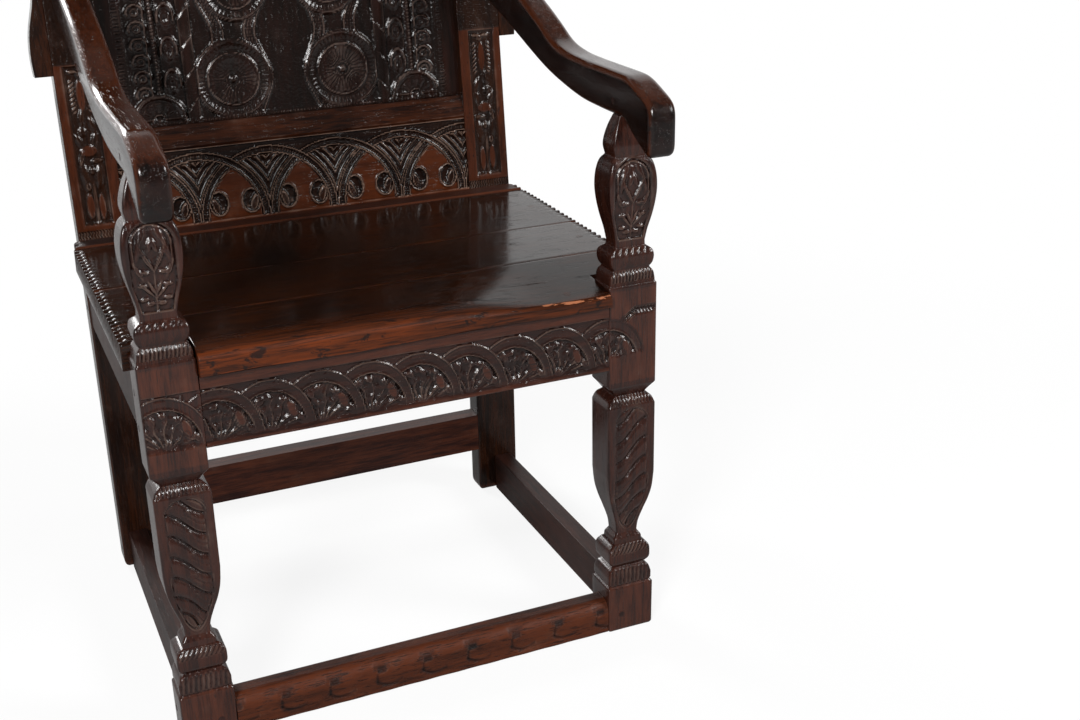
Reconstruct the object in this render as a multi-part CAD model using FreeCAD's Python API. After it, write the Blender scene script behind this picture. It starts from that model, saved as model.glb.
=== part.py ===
import FreeCAD
import Part
import math
import os

from FreeCAD import Vector

# Joined oak wainscot chair, in millimetres, +Z up, +X to the right of a viewer in front, front towards -Y.
# The model is drawn with Y = 0 on the front face of the front posts, and moved as a whole when it is
# written, so that the origin lies on the floor under the middle of the chair.

# Overall sizes
chair_height = 1080.0
seat_height = 440.0
front_width = 555.0
rear_narrowing = 7.0
frame_depth = 402.0
rake_angle = 5.7

# Posts
post_width = 58.0
post_depth = 45.0
stile_width = 56.0
stile_depth = 30.0
foot_block_height = 57.0
block_below_rail = 22.0
block_above_rail = 18.0
depth_inset_share = 0.7
upper_vase_rear_setback = 4.5

# Seat
seat_thickness = 29.0
seat_side_overhang = 12.0
seat_front_overhang = 8.0
seat_nosing_radius = 14.0
front_board_width = 107.5
middle_board_width = 116.5
board_seam = 0.4
slip_width = 24.0
slip_end_setback = 3.0
slip_rise = 1.5

# Rails under the seat
rail_height = 76.0
rail_thickness = 25.0
side_rail_setback = 2.0
rear_rail_seam = 4.0

# Stretchers
front_stretcher_height = 41.0
front_stretcher_thickness = 29.5
side_stretcher_height = 51.0
side_stretcher_thickness = 22.0
side_stretcher_setback = 10.0
rear_stretcher_height = 52.5
rear_stretcher_thickness = 25.0
rear_stretcher_bottom = 66.0
floor_gap = 1.0

# Arms
arm_thickness = 31.0
arm_overhang = 62.0
arm_seat_height = 612.0
arm_depth = 48.0
arm_drop = 31.0
arm_rise = 92.0
arm_end_room = 12.0

# Back, measured up the leaning stiles from the seat
back_rail_lift = 2.0
bottom_rail_height = 122.0
top_rail_height = 90.0
crest_height = 123.0
back_rail_thickness = 26.0
panel_setback = 11.0
panel_tongue_thickness = 6.0
panel_field_thickness = 10.0
panel_tongue = 7.0
panel_bevel = 20.0
groove_depth = 8.0
crest_overhang = 22.0
bracket_foot_height = 192.0
bracket_width = 20.0
bracket_thickness = 22.0

# Joints
tenon_thickness = 10.0
tenon_setback = 8.0
tenon_shoulder = 10.0
front_tenon_length = 35.0
rear_tenon_length = 30.0
side_tenon_length = 21.0
stretcher_shoulder = 6.0
post_tenon_width = 14.0
post_tenon_depth = 10.0
post_tenon_height = 30.0
arm_tenon_height = 32.0
arm_tenon_length = 20.0
crest_tenon_width = 32.0
crest_tenon_height = 35.0
tenon_fit = 0.2
tenon_end_room = 0.6
peg_radius = 3.5
peg_fit = 0.1
peg_past_tenon = 4.5
seat_peg_radius = 4.0
seat_peg_depth = 25.0
bracket_peg_depth = 26.0
cut_overrun = 5.0

# Places worked out from the sizes
rake = math.radians(rake_angle)
back_length = (chair_height - seat_height) / math.cos(rake)
seat_underside = seat_height - seat_thickness
rail_bottom = seat_underside - rail_height
block_bottom = rail_bottom - block_below_rail
block_top = seat_underside + block_above_rail
front_inner_x = front_width / 2 - post_width
front_middle_x = front_width / 2 - post_width / 2
post_head_y = (post_depth - upper_vase_rear_setback) / 2
rear_outer_x = (front_width - rear_narrowing) / 2
rear_inner_x = rear_outer_x - stile_width
rear_middle_x = rear_outer_x - stile_width / 2
side_rail_outer_x = rear_outer_x - side_rail_setback
side_rail_inner_x = side_rail_outer_x - rail_thickness
side_rail_middle_x = side_rail_outer_x - rail_thickness / 2
seat_half_width = side_rail_outer_x + seat_side_overhang
slip_front_y = frame_depth - slip_width
side_stretcher_outer_x = rear_outer_x - side_stretcher_setback
side_stretcher_inner_x = side_stretcher_outer_x - side_stretcher_thickness
side_stretcher_middle_x = side_stretcher_outer_x - side_stretcher_thickness / 2
bottom_rail_top = back_rail_lift + bottom_rail_height
stile_length = back_length - crest_height
opening_top = stile_length - top_rail_height
crest_half_width = rear_outer_x + crest_overhang
arm_inner_x = front_middle_x - arm_thickness / 2
arm_outer_x = front_middle_x + arm_thickness / 2
arm_end_y = frame_depth + (arm_seat_height + arm_rise - seat_height) * math.tan(rake)
crest_rear_y = frame_depth + back_length * math.sin(rake) + back_rail_thickness * math.cos(rake)
middle_y = (crest_rear_y - arm_overhang) / 2

# Outline of the vase shapes of the front posts: runs of (inset as a share of the post's width,
# height as a share of the stretch). Two points make a straight run, three an arc, more a curve.
lower_vase_shares = (
    ((0.0, 0.0), (0.052, 0.012)),
    ((0.052, 0.012), (0.026, 0.021)),
    ((0.026, 0.021), (0.026, 0.055)),
    ((0.026, 0.055), (0.075, 0.085), (0.16, 0.1)),
    ((0.16, 0.1), (0.064, 0.125), (0.05, 0.156), (0.066, 0.188), (0.147, 0.211)),
    ((0.147, 0.211), (0.19, 0.215)),
    ((0.19, 0.215), (0.198, 0.238)),
    ((0.198, 0.238), (0.272, 0.262)),
    ((0.272, 0.262), (0.246, 0.31), (0.17, 0.37), (0.085, 0.43), (0.028, 0.49), (0.0, 0.566)),
    ((0.0, 0.566), (0.0, 0.9)),
    ((0.0, 0.9), (0.06, 0.93), (0.17, 0.95)),
    ((0.17, 0.95), (0.09, 0.975), (0.0, 1.0)),
)
upper_vase_shares = (
    ((0.0, 0.0), (0.03, 0.012)),
    ((0.03, 0.012), (0.03, 0.027)),
    ((0.03, 0.027), (0.055, 0.07), (0.12, 0.098)),
    ((0.12, 0.098), (0.068, 0.125), (0.045, 0.165), (0.065, 0.2), (0.12, 0.218)),
    ((0.12, 0.218), (0.186, 0.23)),
    ((0.186, 0.23), (0.19, 0.26)),
    ((0.19, 0.26), (0.15, 0.33), (0.08, 0.42), (0.03, 0.51), (0.012, 0.59), (0.03, 0.67),
     (0.085, 0.735), (0.172, 0.77)),
    ((0.172, 0.77), (0.14, 0.82), (0.155, 0.87), (0.21, 0.935), (0.293, 1.0)),
)

# Side outline of the arm: sweeps behind the post as shares of (post to stile, rise of the arm), and
# the scroll in front of it as shares of (overhang, drop of the scroll or depth of the arm)
arm_underside_shares = ((0.14, 0.02), (0.27, 0.1), (0.38, 0.2), (0.49, 0.34), (0.62, 0.52), (0.8, 0.75),
                        (1.0, 1.0))
arm_topside_shares = ((0.8, 0.78), (0.63, 0.57), (0.51, 0.38), (0.42, 0.22), (0.33, 0.07), (0.23, 0.0),
                      (0.1, 0.0))
scroll_hollow_shares = ((0.0, 0.0), (0.18, 0.23), (0.42, 0.55), (0.72, 0.86), (0.84, 1.0))
scroll_front_shares = ((0.84, 1.0), (0.953, 0.906), (1.0, 0.68))
scroll_brow_shares = ((1.0, 0.36), (0.918, 0.6), (0.72, 0.7))
scroll_crown_shares = ((0.72, 0.7), (0.35, 0.77), (0.1, 0.86), (-0.14, 0.97))

# Crest outline as shares of its half width and height, and bracket outline as shares of its width
# and length, both from the outer end inwards or upwards
crest_outline_shares = ((1.0, 0.3), (0.93, 0.42), (0.84, 0.36), (0.74, 0.44), (0.6, 0.66), (0.5, 0.73),
                        (0.4, 0.74))
bracket_outline_shares = ((1.0, 0.0), (1.05, 0.07), (0.9, 0.16), (0.5, 0.26), (0.4, 0.36), (0.62, 0.5),
                          (0.85, 0.62), (0.7, 0.74), (0.42, 0.84), (0.6, 0.94), (1.0, 1.0))
bracket_peg_shares = (0.12, 0.6)
bracket_peg_width_share = 0.55
front_seat_peg_shares = (-0.8, -0.3, 0.3, 0.8)
peg_row_shares = (0.25, 0.75)

export_shift = Vector(0, -middle_y, 0)


def block(x_range, y_range, z_range):
    size = [b - a for a, b in (x_range, y_range, z_range)]
    return Part.makeBox(*size, Vector(x_range[0], y_range[0], z_range[0]))


def swollen(x_range, y_range, z_range):
    """A mortise: the tenon's block with room on its cheeks."""
    ranges = [(a - tenon_fit, b + tenon_fit) for a, b in (x_range, y_range, z_range)]
    return block(*ranges)


def mirrored(shape):
    return shape.mirror(Vector(0, 0, 0), Vector(1, 0, 0))


def leaned(shape):
    """Tips a piece of the back about the line where the stiles' front faces meet the seat."""
    tipped = shape.copy()
    tipped.rotate(Vector(0, frame_depth, seat_height), Vector(1, 0, 0), -rake_angle)
    return tipped


def fused(shapes):
    body = shapes[0]
    if len(shapes) > 1:
        body = body.fuse(shapes[1:])
    return body.removeSplitter()


def minus(body, cutters):
    return body.cut(cutters).removeSplitter()


def run_edges(runs):
    """Edges along runs of points: a line for two points, an arc for three, a curve through more."""
    edges = []
    for points in runs:
        if len(points) == 2:
            edges.append(Part.LineSegment(*points).toShape())
        elif len(points) == 3:
            edges.append(Part.Arc(*points).toShape())
        else:
            curve = Part.BSplineCurve()
            curve.interpolate(points)
            edges.append(curve.toShape())
    return edges


def prism(runs, sweep):
    wire = Part.Wire(Part.__sortEdges__(run_edges(runs)))
    return Part.Face(wire).extrude(sweep)


def rod(start, sweep, radius):
    return Part.makeCylinder(radius, sweep.Length, start, sweep)


def drilled(start, sweep, radius):
    """The hole of a peg, open at the end where the peg is driven in."""
    outward = Vector(sweep).normalize() * cut_overrun
    return rod(start - outward, sweep + outward, radius + peg_fit)


def both_sides(axes):
    """The same peg places on the right and on the left."""
    left = [(Vector(-s.x, s.y, s.z), Vector(-d.x, d.y, d.z)) for s, d in axes]
    return axes + left


def rows(low, high):
    """Heights of the two pegs of a wide tenon."""
    return [low + (high - low) * share for share in peg_row_shares]


# Pegs: every place is a start point on the face where the peg is driven in, and its run

def front_rail_peg_places():
    x = front_inner_x + front_tenon_length / 2
    run = Vector(0, tenon_setback + tenon_thickness + tenon_setback, 0)
    return [(Vector(x, 0, z), run) for z in rows(rail_bottom, seat_underside)]


def front_stretcher_peg_places():
    x = front_inner_x + front_tenon_length / 2
    run = Vector(0, tenon_setback + tenon_thickness + tenon_setback, 0)
    return [(Vector(x, 0, floor_gap + front_stretcher_height / 2), run)]


def side_peg_places(heights, tenon_x):
    """Pegs driven from the outside through both posts and the tenons of a side piece."""
    front_y = post_depth - side_tenon_length / 2
    rear_y = frame_depth + side_tenon_length / 2
    inner_x = tenon_x - tenon_thickness / 2 - peg_past_tenon
    places = []
    for z in heights:
        places.append((Vector(front_width / 2, front_y, z), Vector(inner_x - front_width / 2, 0, 0)))
        places.append((Vector(rear_outer_x, rear_y, z), Vector(inner_x - rear_outer_x, 0, 0)))
    return places


def side_rail_peg_places():
    return side_peg_places(rows(rail_bottom, seat_underside), side_rail_middle_x)


def side_stretcher_peg_places():
    return side_peg_places([floor_gap + side_stretcher_height / 2], side_stretcher_middle_x)


def rear_peg_places(heights):
    """Pegs driven into the stiles from behind, ending just past the tenon."""
    x = rear_inner_x + rear_tenon_length / 2
    run = Vector(0, tenon_setback - peg_past_tenon - stile_depth, 0)
    return [(Vector(x, frame_depth + stile_depth, z), run) for z in heights]


def rear_rail_peg_places():
    return rear_peg_places(rows(rail_bottom, seat_height - rear_rail_seam))


def rear_stretcher_peg_places():
    return rear_peg_places([rear_stretcher_bottom + rear_stretcher_height / 2])


def back_rail_peg_places():
    """Pegs of the two leaning rails, given before the back is leaned."""
    bottom = rows(seat_height + back_rail_lift, seat_height + bottom_rail_top)
    top = rows(seat_height + opening_top, seat_height + stile_length)
    return rear_peg_places(bottom + top)


def crest_peg_places():
    z = seat_height + stile_length + crest_tenon_height / 2
    run = Vector(0, tenon_setback - peg_past_tenon - back_rail_thickness, 0)
    return [(Vector(rear_middle_x, frame_depth + back_rail_thickness, z), run)]


def arm_post_peg_place():
    z = arm_seat_height + post_tenon_height / 2
    return (Vector(arm_outer_x, post_head_y, z), Vector(-arm_thickness, 0, 0))


def arm_tenon_heights():
    """Foot and head of the arm's tenon, up the stile from the seat."""
    middle = (arm_seat_height + arm_rise + arm_depth / 2 - seat_height) / math.cos(rake)
    return (middle - arm_tenon_height / 2, middle + arm_tenon_height / 2)


def arm_stile_peg_place():
    """Peg of the arm's tenon, given before the back is leaned."""
    low, high = arm_tenon_heights()
    run = rear_outer_x - front_middle_x + arm_thickness / 2
    start = Vector(rear_outer_x, frame_depth + arm_tenon_length / 2, seat_height + (low + high) / 2)
    return (start, Vector(-run, 0, 0))


def bracket_peg_places():
    """Pegs through the brackets, given before the back is leaned."""
    length = stile_length - bracket_foot_height
    start_x = rear_outer_x + bracket_width * bracket_peg_width_share
    places = []
    for share in bracket_peg_shares:
        z = seat_height + bracket_foot_height + length * share
        start = Vector(start_x, frame_depth + bracket_thickness / 2, z)
        places.append((start, Vector(rear_outer_x - bracket_peg_depth - start_x, 0, 0)))
    return places


def seat_side_peg_rows():
    """Places from front to back of the pegs along each side of the seat."""
    first = (post_depth + front_board_width - seat_front_overhang) / 2
    second = front_board_width - seat_front_overhang + middle_board_width / 2
    third = (front_board_width - seat_front_overhang + middle_board_width + slip_front_y) / 2
    fourth = slip_front_y + slip_width / 2
    return [first, second, third, fourth]


def seat_peg_places():
    run = Vector(0, 0, -seat_thickness - seat_peg_depth)
    places = [(Vector(front_inner_x * share, rail_thickness / 2, seat_height), run)
              for share in front_seat_peg_shares]
    for y in seat_side_peg_rows():
        for x in (side_rail_middle_x, -side_rail_middle_x):
            places.append((Vector(x, y, seat_height), run))
    return places


def holes(places, radius=peg_radius):
    return [drilled(start, sweep, radius) for start, sweep in places]


def pegs(places, radius=peg_radius):
    return [rod(start, sweep, radius) for start, sweep in places]


# Tenons of the right side, as ranges in X, Y and Z

def front_rail_tenon():
    return ((front_inner_x, front_inner_x + front_tenon_length),
            (tenon_setback, tenon_setback + tenon_thickness),
            (rail_bottom + tenon_shoulder, seat_underside - tenon_shoulder))


def front_stretcher_tenon():
    return ((front_inner_x, front_inner_x + front_tenon_length),
            (tenon_setback, tenon_setback + tenon_thickness),
            (floor_gap + stretcher_shoulder, floor_gap + front_stretcher_height - stretcher_shoulder))


def side_tenons(middle_x, z_range):
    """Front and rear tenon of a side rail or side stretcher."""
    x_range = (middle_x - tenon_thickness / 2, middle_x + tenon_thickness / 2)
    front = (x_range, (post_depth - side_tenon_length, post_depth), z_range)
    rear = (x_range, (frame_depth, frame_depth + side_tenon_length), z_range)
    return [front, rear]


def side_rail_tenons():
    return side_tenons(side_rail_middle_x, (rail_bottom + tenon_shoulder, seat_underside - tenon_shoulder))


def side_stretcher_tenons():
    low = floor_gap + stretcher_shoulder
    return side_tenons(side_stretcher_middle_x, (low, floor_gap + side_stretcher_height - stretcher_shoulder))


def rear_tenon(z_low, z_high, shoulder):
    return ((rear_inner_x, rear_inner_x + rear_tenon_length),
            (frame_depth + tenon_setback, frame_depth + tenon_setback + tenon_thickness),
            (z_low + shoulder, z_high - shoulder))


def rear_rail_tenon():
    return rear_tenon(rail_bottom, seat_height - rear_rail_seam, tenon_shoulder)


def rear_stretcher_tenon():
    top = rear_stretcher_bottom + rear_stretcher_height
    return rear_tenon(rear_stretcher_bottom, top, stretcher_shoulder)


def bottom_rail_tenon():
    return rear_tenon(seat_height + back_rail_lift, seat_height + bottom_rail_top, tenon_shoulder)


def top_rail_tenon():
    return rear_tenon(seat_height + opening_top, seat_height + stile_length, tenon_shoulder)


def post_tenon():
    return ((front_middle_x - post_tenon_width / 2, front_middle_x + post_tenon_width / 2),
            (post_head_y - post_tenon_depth / 2, post_head_y + post_tenon_depth / 2),
            (arm_seat_height, arm_seat_height + post_tenon_height))


def arm_tenon():
    """Tenon at the rear end of the arm, given before the back is leaned."""
    low, high = arm_tenon_heights()
    return ((front_middle_x - tenon_thickness / 2, front_middle_x + tenon_thickness / 2),
            (frame_depth, frame_depth + arm_tenon_length),
            (seat_height + low, seat_height + high))


def crest_tenon():
    """Tenon at the head of the stile, given before the back is leaned."""
    return ((rear_middle_x - crest_tenon_width / 2, rear_middle_x + crest_tenon_width / 2),
            (frame_depth + tenon_setback, frame_depth + tenon_setback + tenon_thickness),
            (seat_height + stile_length, seat_height + stile_length + crest_tenon_height))


def mortise(ranges, deep_axis, sign=1):
    """The room for a tenon, a little deeper than the tenon along its own axis."""
    deep = list(ranges)
    low, high = deep[deep_axis]
    if sign > 0:
        deep[deep_axis] = (low, high + tenon_end_room)
    else:
        deep[deep_axis] = (low - tenon_end_room, high)
    return swollen(*deep)


# Posts

def vase_runs(table, half_width, inset_scale, low, high):
    """One edge of a vase shape between two heights."""
    depth = post_width * inset_scale
    return [[(half_width - inset * depth, low + (high - low) * height) for inset, height in run]
            for run in table]


def post_edge(half_width, inset_scale, upper_setback):
    """One edge of a front post, seen straight on: foot, lower vase, rail block, upper vase."""
    upper_half = half_width - upper_setback
    edge = [[(half_width, 0), (half_width, foot_block_height)]]
    edge += vase_runs(lower_vase_shares, half_width, inset_scale, foot_block_height, block_bottom)
    edge.append([(half_width, block_bottom), (half_width, block_top)])
    if upper_setback:
        edge.append([(half_width, block_top), (upper_half, block_top)])
    return edge + vase_runs(upper_vase_shares, upper_half, inset_scale, block_top, arm_seat_height)


def post_runs(half_width, inset_scale, rear_setback):
    """Closed outline of a front post; the upper vase is set in on one edge only."""
    far = post_edge(half_width, inset_scale, rear_setback)
    near = [[(-u, z) for u, z in run] for run in post_edge(half_width, inset_scale, 0)]
    return far + near + [[far[-1][-1], near[-1][-1]], [far[0][0], near[0][0]]]


def front_post():
    from_front = [[Vector(front_middle_x + u, 0, z) for u, z in run]
                  for run in post_runs(post_width / 2, 1, 0)]
    from_side = [[Vector(front_inner_x, post_depth / 2 + u, z) for u, z in run]
                 for run in post_runs(post_depth / 2, depth_inset_share, upper_vase_rear_setback)]
    body = prism(from_front, Vector(0, post_depth, 0)).common(prism(from_side, Vector(post_width, 0, 0)))
    body = fused([body, block(*post_tenon())])
    cutters = [mortise(front_rail_tenon(), 0), mortise(front_stretcher_tenon(), 0),
               mortise(side_rail_tenons()[0], 1, -1), mortise(side_stretcher_tenons()[0], 1, -1)]
    front_pegs = front_rail_peg_places() + front_stretcher_peg_places()
    side_pegs = side_rail_peg_places() + side_stretcher_peg_places()
    near = [place for place in side_pegs if place[0].y < frame_depth]
    return minus(body, cutters + holes(front_pegs + near + [arm_post_peg_place()]))


def rear_post():
    head = Vector(0, stile_length * math.sin(rake), stile_length * math.cos(rake))
    across = Vector(0, stile_depth * math.cos(rake), -stile_depth * math.sin(rake))
    front_foot = Vector(rear_inner_x, frame_depth, 0)
    front_bend = Vector(rear_inner_x, frame_depth, seat_height)
    rear_bend_z = seat_height - stile_depth * math.tan(rake / 2)
    rear_bend = Vector(rear_inner_x, frame_depth + stile_depth, rear_bend_z)
    rear_foot = Vector(rear_inner_x, frame_depth + stile_depth, 0)
    corners = [front_foot, front_bend, front_bend + head, front_bend + head + across, rear_bend, rear_foot]
    runs = [[a, b] for a, b in zip(corners, corners[1:] + corners[:1])]
    body = fused([prism(runs, Vector(stile_width, 0, 0)), leaned(block(*crest_tenon()))])
    upright_cuts = [mortise(side_rail_tenons()[1], 1), mortise(side_stretcher_tenons()[1], 1),
                    mortise(rear_rail_tenon(), 0), mortise(rear_stretcher_tenon(), 0)]
    groove_z = (seat_height + bottom_rail_top - tenon_shoulder, seat_height + opening_top + tenon_shoulder)
    groove = block((rear_inner_x - cut_overrun, rear_inner_x + groove_depth), groove_range(), groove_z)
    leaning_cuts = [groove, mortise(bottom_rail_tenon(), 0), mortise(top_rail_tenon(), 0)]
    leaning_cuts.append(mortise(arm_tenon(), 1))
    leaning_cuts += holes(back_rail_peg_places() + crest_peg_places() + bracket_peg_places())
    leaning_cuts += holes([arm_stile_peg_place()])
    side_pegs = side_rail_peg_places() + side_stretcher_peg_places()
    far = [place for place in side_pegs if place[0].y > frame_depth]
    upright_cuts += holes(far + rear_rail_peg_places() + rear_stretcher_peg_places())
    return minus(body, upright_cuts + [leaned(cutter) for cutter in leaning_cuts])


# Rails and stretchers

def crosspiece(body, tenon, peg_places):
    """A board with a tenon at both ends, drilled for its pegs."""
    tenons = [block(*tenon), mirrored(block(*tenon))]
    return minus(fused([body] + tenons), holes(both_sides(peg_places)))


def front_seat_rail():
    body = block((-front_inner_x, front_inner_x), (0, rail_thickness), (rail_bottom, seat_underside))
    board = crosspiece(body, front_rail_tenon(), front_rail_peg_places())
    return minus(board, holes(seat_peg_places(), seat_peg_radius))


def rear_seat_rail():
    body = block((-rear_inner_x, rear_inner_x), (frame_depth, frame_depth + rail_thickness),
                 (rail_bottom, seat_height - rear_rail_seam))
    return crosspiece(body, rear_rail_tenon(), rear_rail_peg_places())


def front_stretcher():
    body = block((-front_inner_x, front_inner_x), (0, front_stretcher_thickness),
                 (floor_gap, floor_gap + front_stretcher_height))
    return crosspiece(body, front_stretcher_tenon(), front_stretcher_peg_places())


def rear_stretcher():
    body = block((-rear_inner_x, rear_inner_x), (frame_depth, frame_depth + rear_stretcher_thickness),
                 (rear_stretcher_bottom, rear_stretcher_bottom + rear_stretcher_height))
    return crosspiece(body, rear_stretcher_tenon(), rear_stretcher_peg_places())


def side_seat_rail():
    body = block((side_rail_inner_x, side_rail_outer_x), (post_depth, frame_depth),
                 (rail_bottom, seat_underside))
    body = fused([body] + [block(*tenon) for tenon in side_rail_tenons()])
    return minus(body, holes(side_rail_peg_places()) + holes(seat_peg_places(), seat_peg_radius))


def side_stretcher():
    body = block((side_stretcher_inner_x, side_stretcher_outer_x), (post_depth, frame_depth),
                 (floor_gap, floor_gap + side_stretcher_height))
    body = fused([body] + [block(*tenon) for tenon in side_stretcher_tenons()])
    return minus(body, holes(side_stretcher_peg_places()))


# Seat

def seat_board(y_front, y_rear):
    board = block((-seat_half_width, seat_half_width), (y_front, y_rear), (seat_underside, seat_height))
    return minus(board, holes(seat_peg_places(), seat_peg_radius))


def seat_board_front():
    y_rear = front_board_width - seat_front_overhang
    board = seat_board(-seat_front_overhang, y_rear)
    notch_x = (front_inner_x - tenon_fit, seat_half_width + cut_overrun)
    notch_y = (-seat_front_overhang - cut_overrun, post_depth + tenon_fit)
    notch = block(notch_x, notch_y, (seat_underside - cut_overrun, seat_height + cut_overrun))
    board = minus(board, [notch, mirrored(notch)])
    nosing = [edge for edge in board.Edges
              if abs(edge.CenterOfMass.y + seat_front_overhang) < tenon_fit
              and abs(edge.CenterOfMass.z - seat_height) < tenon_fit]
    return board.makeFillet(seat_nosing_radius, nosing)


def seat_board_middle():
    y_front = front_board_width - seat_front_overhang + board_seam
    return seat_board(y_front, y_front - board_seam + middle_board_width)


def seat_board_back():
    return seat_board(front_board_width - seat_front_overhang + middle_board_width + board_seam,
                      slip_front_y - board_seam)


def seat_back_slip():
    half = seat_half_width - slip_end_setback
    strip = block((-half, half), (slip_front_y, frame_depth), (seat_underside, seat_height + slip_rise))
    return minus(strip, holes(seat_peg_places(), seat_peg_radius))


# Back

def groove_range():
    front = frame_depth + panel_setback
    return (front - tenon_fit, front + panel_tongue_thickness + tenon_fit)


def back_rail(low, high, tenon, groove_low, groove_high):
    body = block((-rear_inner_x, rear_inner_x), (frame_depth, frame_depth + back_rail_thickness),
                 (seat_height + low, seat_height + high))
    rail = crosspiece(body, tenon, back_rail_peg_places())
    half = rear_inner_x + rear_tenon_length + cut_overrun
    groove = block((-half, half), groove_range(), (seat_height + groove_low, seat_height + groove_high))
    return minus(rail, [groove])


def back_bottom_rail():
    return leaned(back_rail(back_rail_lift, bottom_rail_top, bottom_rail_tenon(),
                            bottom_rail_top - groove_depth, bottom_rail_top + cut_overrun))


def back_top_rail():
    return leaned(back_rail(opening_top, stile_length, top_rail_tenon(),
                            opening_top - cut_overrun, opening_top + groove_depth))


def back_panel():
    tongue_y = (frame_depth + panel_setback, frame_depth + panel_setback + panel_tongue_thickness)
    field_y = (frame_depth + panel_setback, frame_depth + panel_setback + panel_field_thickness)
    half = rear_inner_x + panel_tongue
    low = seat_height + bottom_rail_top
    high = seat_height + opening_top
    sheet = block((-half, half), tongue_y, (low - panel_tongue, high + panel_tongue))
    field_half = rear_inner_x - panel_bevel
    field = block((-field_half, field_half), field_y, (low + panel_bevel, high - panel_bevel))
    return leaned(fused([sheet, field]))


def crest_rail():
    """Scrolled at both ends, with one arc over the middle."""
    foot = seat_height + stile_length
    right = [Vector(crest_half_width * u, frame_depth, foot + crest_height * v)
             for u, v in crest_outline_shares]
    left = [Vector(-point.x, point.y, point.z) for point in right]
    top = Vector(0, frame_depth, foot + crest_height)
    low_right = Vector(crest_half_width, frame_depth, foot)
    low_left = Vector(-crest_half_width, frame_depth, foot)
    runs = [[low_right, right[0]], right, [right[-1], top, left[-1]], left, [left[0], low_left],
            [low_left, low_right]]
    board = prism(runs, Vector(0, back_rail_thickness, 0))
    cutters = [mortise(crest_tenon(), 2)] + holes(crest_peg_places())
    return leaned(minus(board, cutters + [mirrored(cutter) for cutter in cutters]))


def back_bracket():
    foot = seat_height + bracket_foot_height
    length = stile_length - bracket_foot_height
    edge = [Vector(rear_outer_x + bracket_width * u, frame_depth, foot + length * v)
            for u, v in bracket_outline_shares]
    inner_low = Vector(rear_outer_x, frame_depth, foot)
    inner_high = Vector(rear_outer_x, frame_depth, foot + length)
    runs = [[inner_low, edge[0]], edge, [edge[-1], inner_high], [inner_high, inner_low]]
    board = prism(runs, Vector(0, bracket_thickness, 0))
    return leaned(minus(board, holes(bracket_peg_places())))


# Arms

def arm_outline():
    """Closed side outline of the arm, from the scroll's foot back along the underside and home on top."""
    rear_of_post = post_depth
    sweep = arm_end_y - rear_of_post
    top = arm_seat_height + arm_depth

    def at(y, z):
        return Vector(arm_inner_x, y, z)

    def scroll(shares, height):
        return [at(-arm_overhang * u, height(v)) for u, v in shares]

    hollow = scroll(scroll_hollow_shares, lambda v: arm_seat_height - arm_drop * v)
    front = scroll(scroll_front_shares, lambda v: arm_seat_height - arm_drop * v)
    brow = scroll(scroll_brow_shares, lambda v: arm_seat_height + arm_depth * v)
    crown = scroll(scroll_crown_shares, lambda v: arm_seat_height + arm_depth * v)
    under = [at(rear_of_post + sweep * u, arm_seat_height + arm_rise * v)
             for u, v in arm_underside_shares]
    over = [at(rear_of_post + sweep * u, top + arm_rise * v) for u, v in arm_topside_shares]
    flat_end = at(rear_of_post, arm_seat_height)
    low_end = at(arm_end_y + arm_end_room, arm_seat_height + arm_rise)
    high_end = at(arm_end_y + arm_end_room, top + arm_rise)
    return [hollow, front, [front[-1], brow[0]], brow, crown, [crown[-1], over[-1]], [high_end] + over,
            [high_end, low_end], [flat_end] + under[:-1] + [low_end], [flat_end, hollow[0]]]


def arm():
    body = prism(arm_outline(), Vector(arm_thickness, 0, 0))
    stile_front = block((arm_inner_x - cut_overrun, arm_outer_x + cut_overrun),
                        (frame_depth, frame_depth + stile_width), (seat_height, chair_height))
    body = body.cut(leaned(stile_front))
    body = fused([body, leaned(block(*arm_tenon()))])
    cutters = [mortise(post_tenon(), 2)] + holes([arm_post_peg_place()])
    cutters += [leaned(hole) for hole in holes([arm_stile_peg_place()])]
    return minus(body, cutters)


# Peg groups

def leaned_pegs(places, radius=peg_radius):
    return [leaned(peg) for peg in pegs(places, radius)]


peg_groups = {
    "front_rail_pegs": pegs(both_sides(front_rail_peg_places())),
    "front_stretcher_pegs": pegs(both_sides(front_stretcher_peg_places())),
    "side_rail_pegs": pegs(both_sides(side_rail_peg_places())),
    "side_stretcher_pegs": pegs(both_sides(side_stretcher_peg_places())),
    "rear_rail_pegs": pegs(both_sides(rear_rail_peg_places())),
    "rear_stretcher_pegs": pegs(both_sides(rear_stretcher_peg_places())),
    "back_rail_pegs": leaned_pegs(both_sides(back_rail_peg_places())),
    "crest_pegs": leaned_pegs(both_sides(crest_peg_places())),
    "bracket_pegs": leaned_pegs(both_sides(bracket_peg_places())),
    "arm_post_pegs": pegs(both_sides([arm_post_peg_place()])),
    "arm_stile_pegs": leaned_pegs(both_sides([arm_stile_peg_place()])),
    "seat_pegs": pegs(seat_peg_places(), seat_peg_radius),
}

single_pieces = {
    "front_seat_rail": front_seat_rail,
    "rear_seat_rail": rear_seat_rail,
    "front_stretcher": front_stretcher,
    "rear_stretcher": rear_stretcher,
    "seat_board_front": seat_board_front,
    "seat_board_middle": seat_board_middle,
    "seat_board_back": seat_board_back,
    "seat_back_slip": seat_back_slip,
    "back_bottom_rail": back_bottom_rail,
    "back_panel": back_panel,
    "back_top_rail": back_top_rail,
    "crest_rail": crest_rail,
}

paired_pieces = {
    "front_post": front_post,
    "rear_post": rear_post,
    "side_seat_rail": side_seat_rail,
    "side_stretcher": side_stretcher,
    "arm": arm,
    "back_bracket": back_bracket,
}


def write(name, shape):
    shape.translate(export_shift)
    shape.exportStep("parts/" + name + ".step")
    print(name, len(shape.Solids), round(shape.Volume))


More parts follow.
